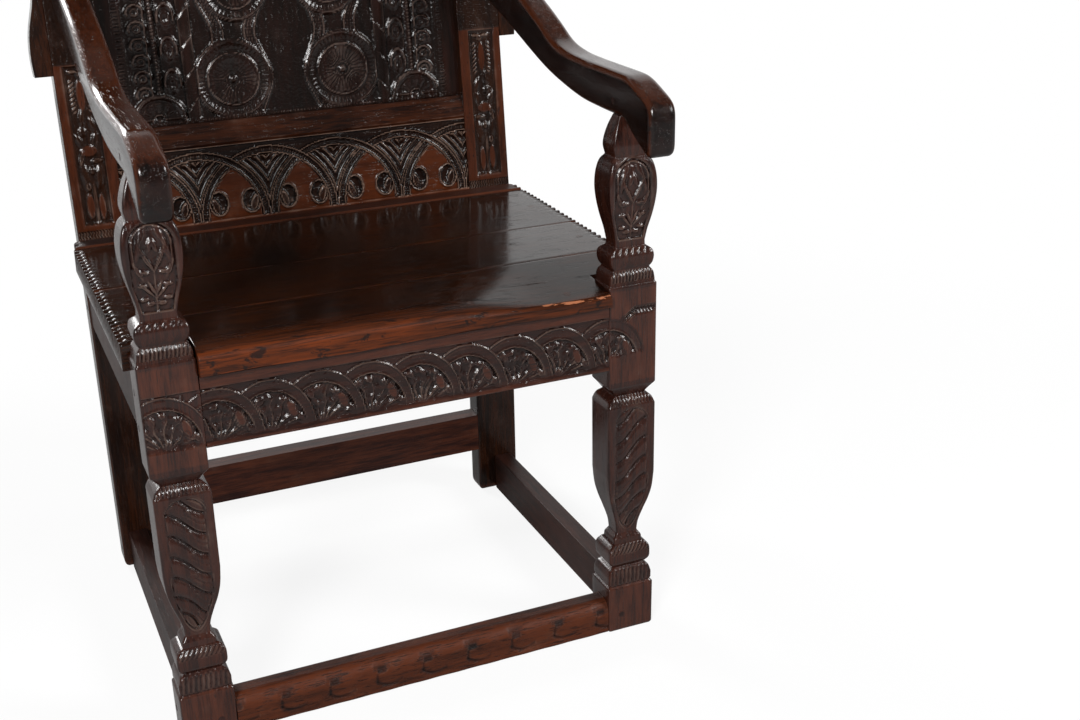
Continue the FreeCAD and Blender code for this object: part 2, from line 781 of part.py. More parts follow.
os.makedirs("parts", exist_ok=True)
for name, make in single_pieces.items():
    write(name, make())
for name, make in paired_pieces.items():
    right = make()
    left = mirrored(right)
    write(name + "_right", right)
    write(name + "_left", left)
for name, group in peg_groups.items():
    write(name, Part.Compound(group))
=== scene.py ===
import math

import bmesh
import bpy
import numpy as np
from mathutils import Matrix, Vector


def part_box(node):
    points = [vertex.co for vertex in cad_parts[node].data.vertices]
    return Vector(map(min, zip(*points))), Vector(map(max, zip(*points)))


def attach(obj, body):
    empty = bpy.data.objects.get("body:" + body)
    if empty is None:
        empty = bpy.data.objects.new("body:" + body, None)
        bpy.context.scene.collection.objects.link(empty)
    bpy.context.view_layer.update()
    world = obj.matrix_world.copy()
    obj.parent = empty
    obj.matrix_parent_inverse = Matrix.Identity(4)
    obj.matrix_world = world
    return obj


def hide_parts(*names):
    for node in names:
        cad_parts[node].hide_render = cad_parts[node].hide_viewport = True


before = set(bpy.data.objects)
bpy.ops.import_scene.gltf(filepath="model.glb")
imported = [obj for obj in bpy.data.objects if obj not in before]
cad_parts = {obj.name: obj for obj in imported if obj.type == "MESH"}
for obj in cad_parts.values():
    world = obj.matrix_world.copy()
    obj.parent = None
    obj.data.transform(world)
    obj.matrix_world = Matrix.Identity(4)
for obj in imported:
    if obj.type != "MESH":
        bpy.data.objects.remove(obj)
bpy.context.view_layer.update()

# The front posts are leg and arm support in one length of oak. The square blocks are mortised for rails
# and stretchers, and the stretches between are sawn to flat-sided vases, then moulded, nicked and
# carved on the front with gouges. Lengths are in millimetres until a piece is laid in its place.
mm = 0.001
carving_step = 1.3
surface_wear = 0.15
weld_gap = 1e-6
skin_sharp_degrees = 50
full_cut = 4.0
full_edge = 0.8
post_box = [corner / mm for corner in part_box("front_post_right")]
post_width = post_box[1].x - post_box[0].x
post_depth = post_box[1].y - post_box[0].y
post_middle = (post_box[0].x + post_box[1].x) / 2
front_plane = post_box[0].y
foot_block_height = 57.0
block_bottom = 313.0
block_top = 429.0
arm_seat_height = 612.0
upper_vase_rear_setback = 4.5
depth_inset_share = 0.7
post_arris = 2.2
post_side_faces = 7
post_unevenness = 0.25
post_arris_wear = 1.4
lower_vase_runs = (
    ((0.0, 0.0), (0.052, 0.012)),
    ((0.052, 0.012), (0.026, 0.021)),
    ((0.026, 0.021), (0.026, 0.055)),
    ((0.026, 0.055), (0.075, 0.085), (0.16, 0.1)),
    ((0.16, 0.1), (0.064, 0.125), (0.05, 0.156), (0.066, 0.188), (0.147, 0.211)),
    ((0.147, 0.211), (0.19, 0.215)),
    ((0.19, 0.215), (0.198, 0.238)),
    ((0.198, 0.238), (0.272, 0.262)),
    ((0.272, 0.262), (0.246, 0.31), (0.17, 0.37), (0.085, 0.43), (0.028, 0.49), (0.0, 0.566)),
    ((0.0, 0.566), (0.0, 0.9)),
    ((0.0, 0.9), (0.06, 0.93), (0.17, 0.95)),
    ((0.17, 0.95), (0.09, 0.975), (0.0, 1.0)),
)
upper_vase_runs = (
    ((0.0, 0.0), (0.03, 0.012)),
    ((0.03, 0.012), (0.03, 0.027)),
    ((0.03, 0.027), (0.055, 0.07), (0.12, 0.098)),
    ((0.12, 0.098), (0.068, 0.125), (0.045, 0.165), (0.065, 0.2), (0.12, 0.218)),
    ((0.12, 0.218), (0.186, 0.23)),
    ((0.186, 0.23), (0.19, 0.26)),
    ((0.19, 0.26), (0.15, 0.33), (0.08, 0.42), (0.03, 0.51), (0.012, 0.59), (0.03, 0.67),
     (0.085, 0.735), (0.172, 0.77)),
    ((0.172, 0.77), (0.14, 0.82), (0.155, 0.87), (0.21, 0.935), (0.293, 1.0)),
)


def curve_through(points, steps=10):
    """A smooth line through the points of one run."""
    knots = np.array(points, float)
    if len(knots) == 2:
        return knots
    ends = np.vstack([2 * knots[0] - knots[1], knots, 2 * knots[-1] - knots[-2]])
    t = np.linspace(0, 1, steps, endpoint=False)[:, None]
    parts = []
    for a, b, c, d in zip(ends, ends[1:], ends[2:], ends[3:]):
        cubic = 3 * b - a - 3 * c + d
        parts.append((2 * b + (c - a) * t + (2 * a - 5 * b + 4 * c - d) * t**2 + cubic * t**3) / 2)
    return np.vstack(parts + [knots[-1:]])


def even_steps(line, spacing):
    """The same line with points at an even spacing along it."""
    along = np.concatenate([[0], np.cumsum(np.hypot(*np.diff(line, axis=0).T))])
    at = np.linspace(0, along[-1], int(along[-1] / spacing) + 2)
    return np.column_stack([np.interp(at, along, column) for column in line.T])


def ring(front, side, corner=3):
    """Places round a squared section: the signs of the nearest corner, and the outward direction."""
    faces = (((-1, -1), (1, -1), (0, -1), front), ((1, -1), (1, 1), (1, 0), side),
             ((1, 1), (-1, 1), (0, 1), side), ((-1, 1), (-1, -1), (-1, 0), side))
    places = []
    for start, end, outward, count in faces:
        for t in np.linspace(0, 1, count + 1):
            places.append([start[0] + (end[0] - start[0]) * t, start[1] + (end[1] - start[1]) * t, *outward])
        for k in range(1, corner):
            turn = math.pi / 2 * k / corner
            places.append([*end, outward[0] * math.cos(turn) - outward[1] * math.sin(turn),
                           outward[1] * math.cos(turn) + outward[0] * math.sin(turn)])
    return np.array(places).T


def linked(name, data):
    """A new object in the scene."""
    made = bpy.data.objects.new(name, data)
    bpy.context.scene.collection.objects.link(made)
    return made


def skin(name, around, along, place):
    """A closed skin: one grid, wrapped round the section and laid by place(i, j), then welded and capped."""
    sheet = bmesh.new()
    bmesh.ops.create_grid(sheet, x_segments=around, y_segments=along - 1, size=1)
    mesh = bpy.data.meshes.new(name)
    sheet.to_mesh(mesh)
    flat = np.empty(len(mesh.vertices) * 3)
    mesh.vertices.foreach_get("co", flat)
    grid = (flat.reshape(-1, 3) + 1) / 2
    i = np.rint(grid[:, 0] * around).astype(int) % around
    j = np.rint(grid[:, 1] * (along - 1)).astype(int)
    points, marks = place(i, j)
    mesh.vertices.foreach_set("co", (points * mm).ravel())
    for mark, values in marks.items():
        mesh.attributes.new(mark, "FLOAT", "POINT").data.foreach_set("value", np.clip(values, 0, 1))
    sheet.free()
    closed = bmesh.new()
    closed.from_mesh(mesh)
    bmesh.ops.remove_doubles(closed, verts=closed.verts, dist=weld_gap)
    bmesh.ops.holes_fill(closed, edges=[edge for edge in closed.edges if edge.is_boundary], sides=0)
    bmesh.ops.recalc_face_normals(closed, faces=closed.faces)
    closed.to_mesh(mesh)
    closed.free()
    mesh.shade_smooth()
    mesh.set_sharp_from_angle(angle=math.radians(skin_sharp_degrees))
    return linked(name, mesh)


def settle(piece, material, slot_name, *nodes):
    """Gives a piece its material and hands it to the frame in place of its plain solids."""
    piece.data.materials.clear()
    piece.data.materials.append(material)
    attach(piece, "root")
    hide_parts(*nodes)


def rise(value, start, end):
    """0 before start, 1 after end, smooth between."""
    t = np.clip((value - start) / (end - start), 0, 1)
    return t * t * (3 - 2 * t)


def between(value, low, high, soft=0.8):
    """1 from low to high, fading over the soft margin inside."""
    return rise(value, low, low + soft) * (1 - rise(value, high - soft, high))


def ridge(distance, width):
    """A rounded ridge about distance 0."""
    return np.exp(-(distance / width) ** 2)


def nicks(along, pitch):
    """A row of cuts by a small gouge, 1 at the bottom of each."""
    return (0.5 + 0.5 * np.cos(2 * np.pi * along / pitch)) ** 1.6


def wander(x, z, scale):
    """Slow unevenness of hand-cut and worn wood, about -1 to 1."""
    first = np.sin(x / scale + 1.3 * np.sin(z / scale * 0.7))
    return (first + np.sin(z / scale * 1.3 + 1.1 * np.sin(x / scale))) / 2


def laid(under, over, mask):
    """One value laid over another where the mask is 1."""
    return under * (1 - mask) + over * mask


def faced(outward, sharpness=6):
    """1 on the front face, fading round its arrises."""
    return np.clip(-outward, 0, 1) ** sharpness


def arris_wear(amount, first, second):
    """Wear where the surface turns from one face to the next."""
    return amount * (1 - np.maximum(np.abs(first), np.abs(second)))


def relief(carving, x, up):
    """A carving's depth and bareness, with how sharply each place stands up or is cut in."""
    reach = 1.4
    depth, bare = carving(x, up)
    steps = ((reach, 0), (-reach, 0), (0, reach), (0, -reach))
    around = sum(carving(x + dx, up + dz)[0] for dx, dz in steps) / len(steps)
    return depth, bare, around - depth


def marks_of(depth, bare, edge, facing, edge_wear, beyond=0.4):
    """What the finish needs to know about each place."""
    return {"cut": depth * (1 - bare) * facing / full_cut, "bare": bare * facing + beyond * (1 - facing),
            "worn": edge_wear, "crest": edge * facing / full_edge, "crease_shade": -edge * facing / full_edge}


def oval(x, up, centre_x, centre_up, half_x, half_up, soft=0.25):
    """1 inside an oval, fading at its rim."""
    return 1 - rise(np.hypot((x - centre_x) / half_x, (up - centre_up) / half_up), 1 - soft, 1 + soft)


# The front of the seat frame is carved with half rounds that overlap like a row of scallops, each over the
# foot of the next. The row runs on over the blocks of the posts, cut after the frame was pegged up.
lunette_pitch = 52.2
lunette_first = 1.6
lunette_last = 217.8
lunette_foot = 338.0
lunette_half_width = 47.0
lunette_height = 58.0
lunette_inner_half_width = 37.5
lunette_inner_height = 44.5
spandrel_top = 398.0
lunette_ground = 3.4
lunette_curls = ((-10, 35, 4.5), (-1, 38, 3.5), (-15, 24, 3.0), (3, 6, 4.5), (14, 33, 3.0))


def lunettes(x, z):
    """Depth of cut, and how bare of carving the surface is, over the seat rail and its post blocks."""
    foot = lunette_foot + 11.0 * (x > post_box[0].x)
    ground = rise(z, foot - 1, foot + 11) * (1 - rise(z, spandrel_top - 2, spandrel_top))
    ground = ground * (1 - rise(x, lunette_last - 6, lunette_last + 8))
    depth = 2.0 * ground
    bare = 1 - ground
    centres = [lunette_first + lunette_pitch * k for k in range(-5, 4)] + [lunette_last]
    for count, centre in enumerate(reversed(centres)):
        dx = x - centre
        dz = z - lunette_foot
        outer = np.hypot(dx / lunette_half_width, dz / lunette_height)
        inner = np.hypot(dx / lunette_inner_half_width, dz / lunette_inner_height)
        inside = (1 - rise(outer, 0.985, 1.0)) * rise(z - foot, -1, 9)
        across = np.clip((1 - outer) / np.maximum(1e-3, (1 - outer) + (inner - 1)), 0, 1)
        band = 0.35 + 1.0 * np.sin(np.pi * across) ** 0.8 + 0.8 * ridge(across - 0.2, 0.06)
        band -= 0.4 * ridge(across - 0.04, 0.07) + 0.4 * ridge(across - 0.95, 0.06)
        turn = np.arctan2(dx - 1, dz + 2) + 0.05 * np.sin(dz / 4 + count)
        petal = np.mod(turn / 0.36 + 0.25 + 0.15 * np.sin(3 * count), 1) - 0.5
        fan = ridge(petal, 0.2) * (1 - rise(inner, 0.8, 0.95))
        vein = ridge(np.mod(turn / 0.12, 1) - 0.5, 0.22)
        leaf = lunette_ground - (2.0 * fan + 0.5 * vein) * rise(dz, 2, 9)
        for curl_x, curl_z, size in lunette_curls:
            leaf -= 2.2 * oval(dx, dz, curl_x + np.sin(5 * count + curl_z), curl_z, size, size * 0.9, 0.6)
        lean = (dx - 23.0) + 0.28 * (dz - 22)
        window = oval(lean, dz, 0, 21.5, 4.6, 9.0, 0.18)
        rim = ridge(np.hypot(lean / 4.6, (dz - 21.5) / 9.0) - 1.25, 0.16)
        leaf -= 0.9 * wander(dx + 9 * count, dz + 7 * count, 2.1) * rise(dz, 4, 12)
        leaf = laid(leaf, 0.8, window) - 1.2 * rim * (1 - window)
        leaf -= 2.7 * oval(dx + 0.35 * (dz - 8), dz, 33.5, 9.0, 3.4, 6.0, 0.5)
        hollow = 1 - rise(inner, 0.97, 1.0)
        depth = laid(depth, laid(band, np.maximum(leaf, 0.2), hollow), inside)
        bare = laid(bare, window * hollow + 0.1 * (1 - hollow), inside)
    start = lunette_last + 19
    sweep = 396.0 + 9.0 * rise(x, start, start + 16)
    arc = between(z, sweep - 9.0, sweep + 1.0, 1.5) * rise(x, start - 7, start + 9)
    lips = ridge(z - sweep + 1.2, 1.1) + ridge(z - sweep + 7.0, 1.1)
    depth = np.maximum(depth * (1 - arc), arc * (2.6 - 2.2 * lips + 0.8 * nicks(x + 0.3 * z, 4.0)))
    bare = bare * (1 - arc)
    return depth, bare


def frame_half_width(z, margin):
    """Half the width of a frame that keeps its distance from the post's edges."""
    return post_width / 2 - np.interp(z, post_stations[:, 0], post_stations[:, 1]) - margin


def lower_vase_carving(across, z):
    """A sunk, round-ended panel of twisted lobes on the lower vase."""
    low, high, lobe_pitch, foot = 130.0, 285.0, 23.6, 138.0
    margin, widest = 6.0, 20.0
    half = np.minimum(frame_half_width(z, margin), widest)
    round_low, round_high = low + 13.0, high - 18.0
    out = np.hypot(across / half, (z - np.clip(z, round_low, round_high)) / np.where(z > 200, 18.0, 13.0))
    edge = (out - 1) * half
    inside = 1 - rise(edge, -1.4, -0.4)
    sway = np.clip(across / half, -1, 1)
    lobe = (z - foot - 14.0 * np.sin(sway * np.pi / 2)) / lobe_pitch
    place_in = np.mod(lobe, 1)
    swell = np.sin(np.pi * place_in) ** 0.6
    depth = 4.2 - 4.0 * swell
    depth -= 0.8 * ridge(place_in - 0.13, 0.05) * rise(-sway, -0.2, 0.6)
    depth += 0.9 * ridge(place_in - 0.55, 0.07) * rise(-sway, -0.6, 0.3)
    drop = np.mod((z - foot - 13.0) / lobe_pitch + 0.5, 1) - 0.5
    depth -= 1.3 * oval(across, drop * lobe_pitch, -1.0, 0.0, 3.4, 2.4, 0.7)
    depth = np.maximum(depth, 0.15) * inside + 1.7 * ridge(edge + 0.2, 0.9) + 0.6 * ridge(edge - 2.2, 0.7)
    within = between(z, low - 6, high + 6, 3)
    return depth * within, 1 - np.clip(inside + ridge(edge, 1.2), 0, 1) * within


def upper_vase_carving(across, z):
    """Leaf sprays under a double arch on the upper vase."""
    low, spring, top = 480.0, 547.0, 568.5
    margin, widest = 3.6, 21.5
    half = np.minimum(frame_half_width(z, margin), widest)
    out = np.hypot(across / half, np.maximum(z - spring, 0) / (top - spring))
    edge = (out - 1) * half
    inside = (1 - rise(edge, -1.4, -0.3)) * rise(z, low - 1, low + 1)
    a = np.abs(across)
    depth = 2.8 - 1.9 * ridge(edge + 3.6, 1.0) * rise(z, 520, 532)
    for leaf_x, leaf_z, half_x, half_z, lean in ((8.0, 556, 3.4, 8.0, 0.35), (2.0, 546, 2.4, 7.0, 0.3),
                                                 (13.0, 541, 2.4, 10.0, 0.2), (8.0, 536, 2.0, 8.0, -0.4),
                                                 (3.6, 528, 1.8, 7.0, -0.5), (14.5, 522, 2.2, 8.0, -0.4),
                                                 (9.5, 520, 5.0, 2.0, -0.2), (11.5, 507, 4.5, 1.8, 0.3),
                                                 (7.5, 502, 1.8, 7.0, -0.8), (3.2, 504, 1.6, 6.0, -0.4),
                                                 (11.0, 493, 4.0, 2.0, 0.4), (5.0, 488, 4.0, 2.2, 0.3)):
        depth -= 2.3 * oval(a + lean * (z - leaf_z), z, leaf_x, leaf_z, half_x, half_z, 0.5)
    depth -= 1.9 * ridge(a, 1.2) * (1 - rise(z, 516, 524))
    depth += 0.4 * wander(across, z, 1.9)
    depth = np.maximum(depth, 0.1) * inside
    depth += 0.9 * ridge(edge + 0.2, 0.9) * rise(z, low, low + 8) * (1 - rise(z, 572, 578))
    return depth, 1 - inside


nicked_bands = ((61.5, 80.0, 5.2, 0.1, 1.5), (100.0, 111.0, 5.0, 0.7, 1.2), (289.0, 301.0, 3.9, 0.1, 1.2),
                (433.5, 446.5, 3.9, 0.15, 1.5), (464.0, 470.0, 7.4, 0.6, 1.4))


def post_carving(x, z):
    """All the cuts on the front of a front post."""
    across = np.abs(x) - post_middle
    depth, bare = lunettes(x, z)
    on_block = between(z, block_bottom + 3, block_top - 3, 1)
    depth, bare = depth * on_block, 1 - (1 - bare) * on_block
    for carving in (lower_vase_carving, upper_vase_carving):
        more, plain = carving(across, z)
        depth, bare = depth + more, bare * plain
    for low, high, pitch, slant, cut in nicked_bands:
        band = between(z, low, high, 1.2)
        depth = depth + cut * band * nicks(x - slant * z, pitch)
        bare = bare * (1 - 0.8 * band)
    plain = np.clip(between(z, block_bottom + 3, block_top - 1, 4) + (z < foot_block_height + 3), 0, 1)
    return depth, bare * (0.3 + 0.7 * plain)


def vase_edge(runs, low, high):
    """Heights and insets of one vase shape, run by run."""
    shares = np.vstack([curve_through(run) for run in runs])
    return np.column_stack([low + (high - low) * shares[:, 1], shares[:, 0] * post_width])


post_foot = ((0.0, 2.5), (0.8, 1.2), (2.5, 0.3), (foot_block_height, 0.0))
post_stations = even_steps(np.vstack([post_foot, vase_edge(lower_vase_runs, foot_block_height, block_bottom),
                                      vase_edge(upper_vase_runs, block_top, arm_seat_height)]), carving_step)


def front_post(name, side):
    """One post: its section follows the vases' edges, and its front takes the carving."""
    z_at, inset_at = post_stations.T
    setback = upper_vase_rear_setback * rise(z_at, block_top, block_top + 1)
    sx, sy, nx, ny = ring(int(post_width / carving_step), post_side_faces)

    def place(i, j):
        z, inset = z_at[j], inset_at[j] + surface_wear
        half_x = post_width / 2 - inset - post_arris
        front = front_plane + depth_inset_share * inset + post_arris
        rear = front_plane + post_depth - depth_inset_share * inset - setback[j] - post_arris
        x = side * (post_middle + sx[i] * half_x + nx[i] * post_arris)
        y = (front + rear) / 2 + sy[i] * (rear - front) / 2 + ny[i] * post_arris
        depth, bare, edge = relief(post_carving, x, z)
        facing = faced(ny[i])
        y = y + depth * facing + post_unevenness * wander(x, z, 17) * facing
        marks = marks_of(depth, bare, edge, facing, arris_wear(post_arris_wear, nx[i], ny[i]))
        return np.column_stack([x, np.maximum(y, front_plane + 0.02), z]), marks

    return skin(name, len(sx), len(post_stations), place)


class Wire:
    """The output of a material's node, so that its maths reads as sums."""

    def __init__(self, finish, socket):
        self.finish = finish
        self.socket = socket

    def math(self, operation, first, second):
        return self.finish.node("ShaderNodeMath", {"operation": operation}, {0: first, 1: second})

    def __add__(self, other):
        return self.math("ADD", self, other)

    def __sub__(self, other):
        return self.math("SUBTRACT", self, other)

    def __rsub__(self, other):
        return self.math("SUBTRACT", other, self)

    def __mul__(self, other):
        return self.math("MULTIPLY", self, other)

    __radd__ = __add__
    __rmul__ = __mul__


class Finish:
    """A material, or the surround, under construction."""

    def __init__(self, owner):
        self.owner = owner
        owner.use_nodes = True
        self.tree = owner.node_tree
        self.tree.nodes.clear()

    def node(self, kind, settings=None, sockets=None, output=0):
        """A node with its settings, and its sockets set or linked. Its output comes back."""
        made = self.tree.nodes.new(kind)
        for key, value in (settings or {}).items():
            setattr(made, key, value)
        for key, value in (sockets or {}).items():
            if isinstance(value, Wire):
                self.tree.links.new(value.socket, made.inputs[key])
            else:
                made.inputs[key].default_value = value
        return Wire(self, made.outputs[output]) if made.outputs else None

    def blend(self, amount, first, second):
        """A colour between two."""
        return self.node("ShaderNodeMix", {"data_type": "RGBA"}, {0: amount, 6: first, 7: second}, 2)

    def mark(self, name):
        """A value painted on the piece."""
        return self.node("ShaderNodeAttribute", {"attribute_name": name}, output=2)

    def place(self):
        """Where a point lies on the piece."""
        return self.node("ShaderNodeTexCoord", output=3)

    def stretched(self, place, scale):
        """The same place, with its axes scaled."""
        return self.node("ShaderNodeMapping", None, {"Vector": place, "Scale": scale})

    def noise(self, place, scale, detail, **more):
        """Soft noise over the piece."""
        sockets = {"Vector": place, "Scale": scale, "Detail": detail, **more}
        return self.node("ShaderNodeTexNoise", None, sockets)

    def ray(self, kind):
        """1 for rays of one kind."""
        return self.node("ShaderNodeLightPath", output=kind)

    def surface(self, shader):
        """The finished material."""
        self.node("ShaderNodeOutputMaterial", None, {"Surface": shader})
        return self.owner

    def ramp(self, value, start, end):
        """0 up to start, 1 from end on."""
        return self.node("ShaderNodeMapRange", {"interpolation_type": "SMOOTHSTEP"},
                         {"Value": value, "From Min": start, "From Max": end})


def oak(name, dark, mid, warm, warmth, along, gloss, bare_warmth=0.5, ior=1.4, flecks=0.6,
        ridge_dust_and_highlight=(0.12, 0.08, 0.062, 1)):
    """Old polished oak. The grain runs along one axis, and worn and bare places are warmer. Cuts and creases
    are darkened with painted shade, and crests are tinted lighter, part dust and part painted highlight.
    """
    finish = Finish(bpy.data.materials.new(name))
    place = finish.place()
    fine_place = finish.stretched(place, [1.0 if axis == along else 13.0 for axis in "xyz"])
    broad_place = finish.stretched(place, [1.0 if axis == along else 5.0 for axis in "xyz"])
    streak = finish.noise(fine_place, 13.0, 5.0, Roughness=0.6, Distortion=0.3)
    chips = finish.noise(place, 300.0, 2.0)
    fibre = finish.noise(fine_place, 42.0, 4.0, Roughness=0.65)
    cloud = finish.noise(broad_place, 7.0, 3.0)
    grime = finish.noise(place, 38.0, 4.0)

    def darker(share):
        return [part * share for part in dark[:3]] + [1]

    pores = finish.ramp(fibre, flecks, flecks + 0.1)
    tone = finish.ramp(fibre * 0.4 + cloud * 0.3 + streak * 0.5, 0.46, 0.74)
    colour = finish.blend(tone, dark, mid)
    bare = finish.mark("bare")
    worn = finish.mark("worn")
    cut = finish.mark("cut")
    weathered = worn * 0.6 + bare * bare_warmth + cloud * 0.4 + streak * 0.5 + fibre * 0.5 + grime * 0.2
    warm_amount = finish.ramp(weathered, 1.3 - warmth, 1.95 - warmth)
    colour = finish.blend(warm_amount, colour, warm)
    # Crests are tinted lighter: part dust and wear, part painted highlight.
    crest = finish.ramp(finish.mark("crest") + grime * 1.1 + cloud * 0.6, 0.95, 1.75)
    # Creases, and cuts by their depth, darken the colour below: painted shade in the hollows.
    crease_shade = finish.ramp(finish.mark("crease_shade") + cut * 0.35, 0.2, 1.1)
    colour = finish.blend(cut * 0.45, colour, darker(0.5))
    colour = finish.blend(crest * 0.6, colour, ridge_dust_and_highlight)
    colour = finish.blend(crease_shade * 0.75, colour, darker(0.25))
    colour = finish.blend(pores * 0.75, colour, darker(0.3))
    rough = finish.ramp(grime * 0.8 + cut * 0.15 + pores * 0.35, 0.2, 1.2) * 0.14 + gloss
    height = fibre * 0.5 + grime * 0.45 - pores * 0.6 + chips * cut * 2.4
    bump = finish.node("ShaderNodeBump", None, {"Height": height, "Strength": 0.4, "Distance": 0.0008})
    return finish.surface(finish.node("ShaderNodeBsdfPrincipled", None, {
        "Base Color": colour, "Roughness": rough, "Normal": bump, "IOR": ior,
        "Coat Weight": 0.16 if gloss < 0.3 else 0.0, "Coat Roughness": 0.12, "Coat IOR": 1.5}))


post_oak = oak("PostOak", (0.012, 0.004, 0.003, 1), (0.042, 0.012, 0.007, 1), (0.082, 0.021, 0.009, 1),
               0.28, "z", 0.22, 0.5, 1.42)
sides = ((1, "right"), (-1, "left"))
for side, word in sides:
    settle(front_post("FrontPost_" + word, side), post_oak, "polished_oak", "front_post_" + word)


# The front seat rail is a tenoned board between the posts. Its face carries the same row of overlapping
# half rounds, and its foot is left as a plain strip, worn by heels.
rail_arris = 1.5
rail_arris_wear = 3


def bar(name, low, high, carving, arris=rail_arris, top_arris=rail_arris, side_faces=5, beyond=0.4,
        sharpness=6):
    """A board that runs from side to side between two corners, with its front face carved."""
    sz, sy, nz, ny = ring(int((high[2] - low[2]) / carving_step), side_faces)
    length = high[0] - low[0]
    x_at = np.arange(low[0], high[0] + carving_step / 2, length / math.ceil(length / carving_step))

    def place(i, j):
        x = x_at[j]
        radius = np.where((sy[i] < 0) & (sz[i] > 0), top_arris, arris)
        y_mid, z_mid = (low[1] + high[1]) / 2, (low[2] + high[2]) / 2
        y = y_mid + sy[i] * ((high[1] - low[1]) / 2 - radius) + ny[i] * radius
        z = z_mid + sz[i] * ((high[2] - low[2]) / 2 - radius) + nz[i] * radius
        depth, bare, edge = relief(carving, x, z)
        facing = faced(ny[i], sharpness)
        y = y + (depth + surface_wear) * facing
        worn = arris_wear(rail_arris_wear, ny[i], nz[i])
        return np.column_stack([x, y, z]), marks_of(depth, bare, edge, facing, worn, beyond)

    return skin(name, len(sy), len(x_at), place)


def shoulders(node, inner):
    """The box of a crosspiece without its tenons."""
    low, high = [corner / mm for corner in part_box(node)]
    return (-inner, low.y, low.z), (inner, high.y, high.z)


front_inner = post_box[0].x
rail_oak = oak("RailOak", (0.011, 0.004, 0.003, 1), (0.034, 0.010, 0.006, 1), (0.075, 0.019, 0.008, 1),
               0.32, "x", 0.22, 0.5, 1.38)
settle(bar("FrontSeatRail", *shoulders("front_seat_rail", front_inner), lunettes),
       rail_oak, "carved_oak", "front_seat_rail")


# The pegs that lock the frame are riven oak, driven through every tenon and cut off. Those of the front
# rail were pared down with the carving, so their heads follow the cuts.
peg_oak = oak("PegOak", (0.010, 0.004, 0.003, 1), (0.030, 0.010, 0.007, 1), (0.08, 0.022, 0.009, 1),
              0.1, "y", 0.3)


def pared_pegs(name, node, heads, drop, **marks):
    """A copy of a group of pegs, its heads cut down to the surface they stand in."""
    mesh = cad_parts[node].data.copy()
    mesh.name = name
    work = bmesh.new()
    work.from_mesh(mesh)
    bmesh.ops.remove_doubles(work, verts=work.verts, dist=weld_gap)
    bmesh.ops.recalc_face_normals(work, faces=work.faces)
    for vertex in work.verts:
        if heads(vertex.co / mm):
            vertex.co += Vector(drop(vertex.co / mm)) * mm
    work.to_mesh(mesh)
    work.free()
    for mark, value in marks.items():
        mesh.attributes.new(mark, "FLOAT", "POINT").data.foreach_set("value", [value] * len(mesh.vertices))
    mesh.shade_flat()
    return linked(name, mesh)


def rail_head(spot):
    return (0, float(lunettes(np.array([spot.x]), np.array([spot.z]))[0][0]), 0)


settle(pared_pegs("FrontRailPegs", "front_rail_pegs", lambda spot: spot.y < front_plane + 1, rail_head),
       peg_oak, "peg_oak", "front_rail_pegs")
for node in ("front_stretcher_pegs", "side_rail_pegs", "side_stretcher_pegs", "rear_rail_pegs",
             "rear_stretcher_pegs", "back_rail_pegs", "crest_pegs", "bracket_pegs", "arm_post_pegs",
             "arm_stile_pegs"):
    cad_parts[node].data.materials.clear()
    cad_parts[node].data.materials.append(peg_oak)


# The front stretcher lies just off the floor between the feet. Its carved leaf scales are nearly worn
# away, and its upper front edge is rounded by centuries of feet.
scale_pitch = 53.6
scale_first = -9.0
stretcher_wear = 14.0
stretcher_arris = 3.0


def leaf_scales(x, z):
    """Worn leaf scales that all point one way, each with a square notch above and a crescent below."""
    t = np.mod(x - scale_first + scale_pitch / 2, scale_pitch) - scale_pitch / 2
    half = 6.0 + 5.0 * rise(z, 26.0, 37.0)
    notch = between(t - 4.0, -half, half, 3.0) * between(z, 25.0, 36.5, 3.0)
    stem = ridge(t + 1.5, 1.3) * between(z, 12.0, 27.0, 2)
    bow = np.hypot((t - 13.0) / 17.0, (z - 22.0) / 13.0)
    crescent = ridge(bow - 1.0, 0.14) * (1 - rise(z, 14.0, 20.0)) * (0.4 + 0.6 * rise(15.0 - t, -8, 14))
    depth = 3.0 * notch * (0.4 + 0.6 * rise(z, 25.5, 36.0)) + 0.8 * stem + 1.7 * crescent
    scuff = oval(x, z, 176.0, 44.0, 50.0, 12.0, 0.6) + 0.4 * oval(x, z, -60.0, 40.0, 60.0, 9.0, 0.6)
    depth += 0.5 * (1 + wander(x, z, 6.5)) + 0.5 * ridge(z - 8.5, 3.0) + 0.8 * scuff * wander(x / 2.5, z, 1.3)
    return depth, 1 - np.clip(notch + crescent * 0.8 + stem * 0.6, 0, 1)


stretcher_oak = oak("StretcherOak", (0.005, 0.0025, 0.002, 1), (0.050, 0.013, 0.006, 1),
                    (0.088, 0.021, 0.007, 1), 0.4, "x", 0.42, 0.5, 1.3, 0.52, (0.17, 0.11, 0.08, 1))
settle(bar("FrontStretcher", *shoulders("front_stretcher", front_inner), leaf_scales, stretcher_arris,
           stretcher_wear, side_faces=10, beyond=0.8, sharpness=1),
       stretcher_oak, "carved_oak", "front_stretcher")


# Three boards, pegged down to the rails, make the seat, with a narrow slip filling in behind. The front
# edge is worn round, the side edges are nicked with a gouge, and the wax gives a mirror on the flats.
edge_nick_pitch = 11.5
edge_nick_depth = 4.2
nosing_reach = 30.0
nosing_drop = 11.0
sag_from, sag_full = 10, 160
sag_reach = 110.0
sag_drop = 15.0
rubbed_reach = 56
rubbed_loss = 40
chips_from, chips_full = 105, 150
board_side_faces = 8
nosing_steps = 18
notch_gap = 0.2
board_steps = 130
board_seam = 0.3
board_arris = 1.2
board_spacing = 1.9
seat_height = 440.0
wide_board = 40


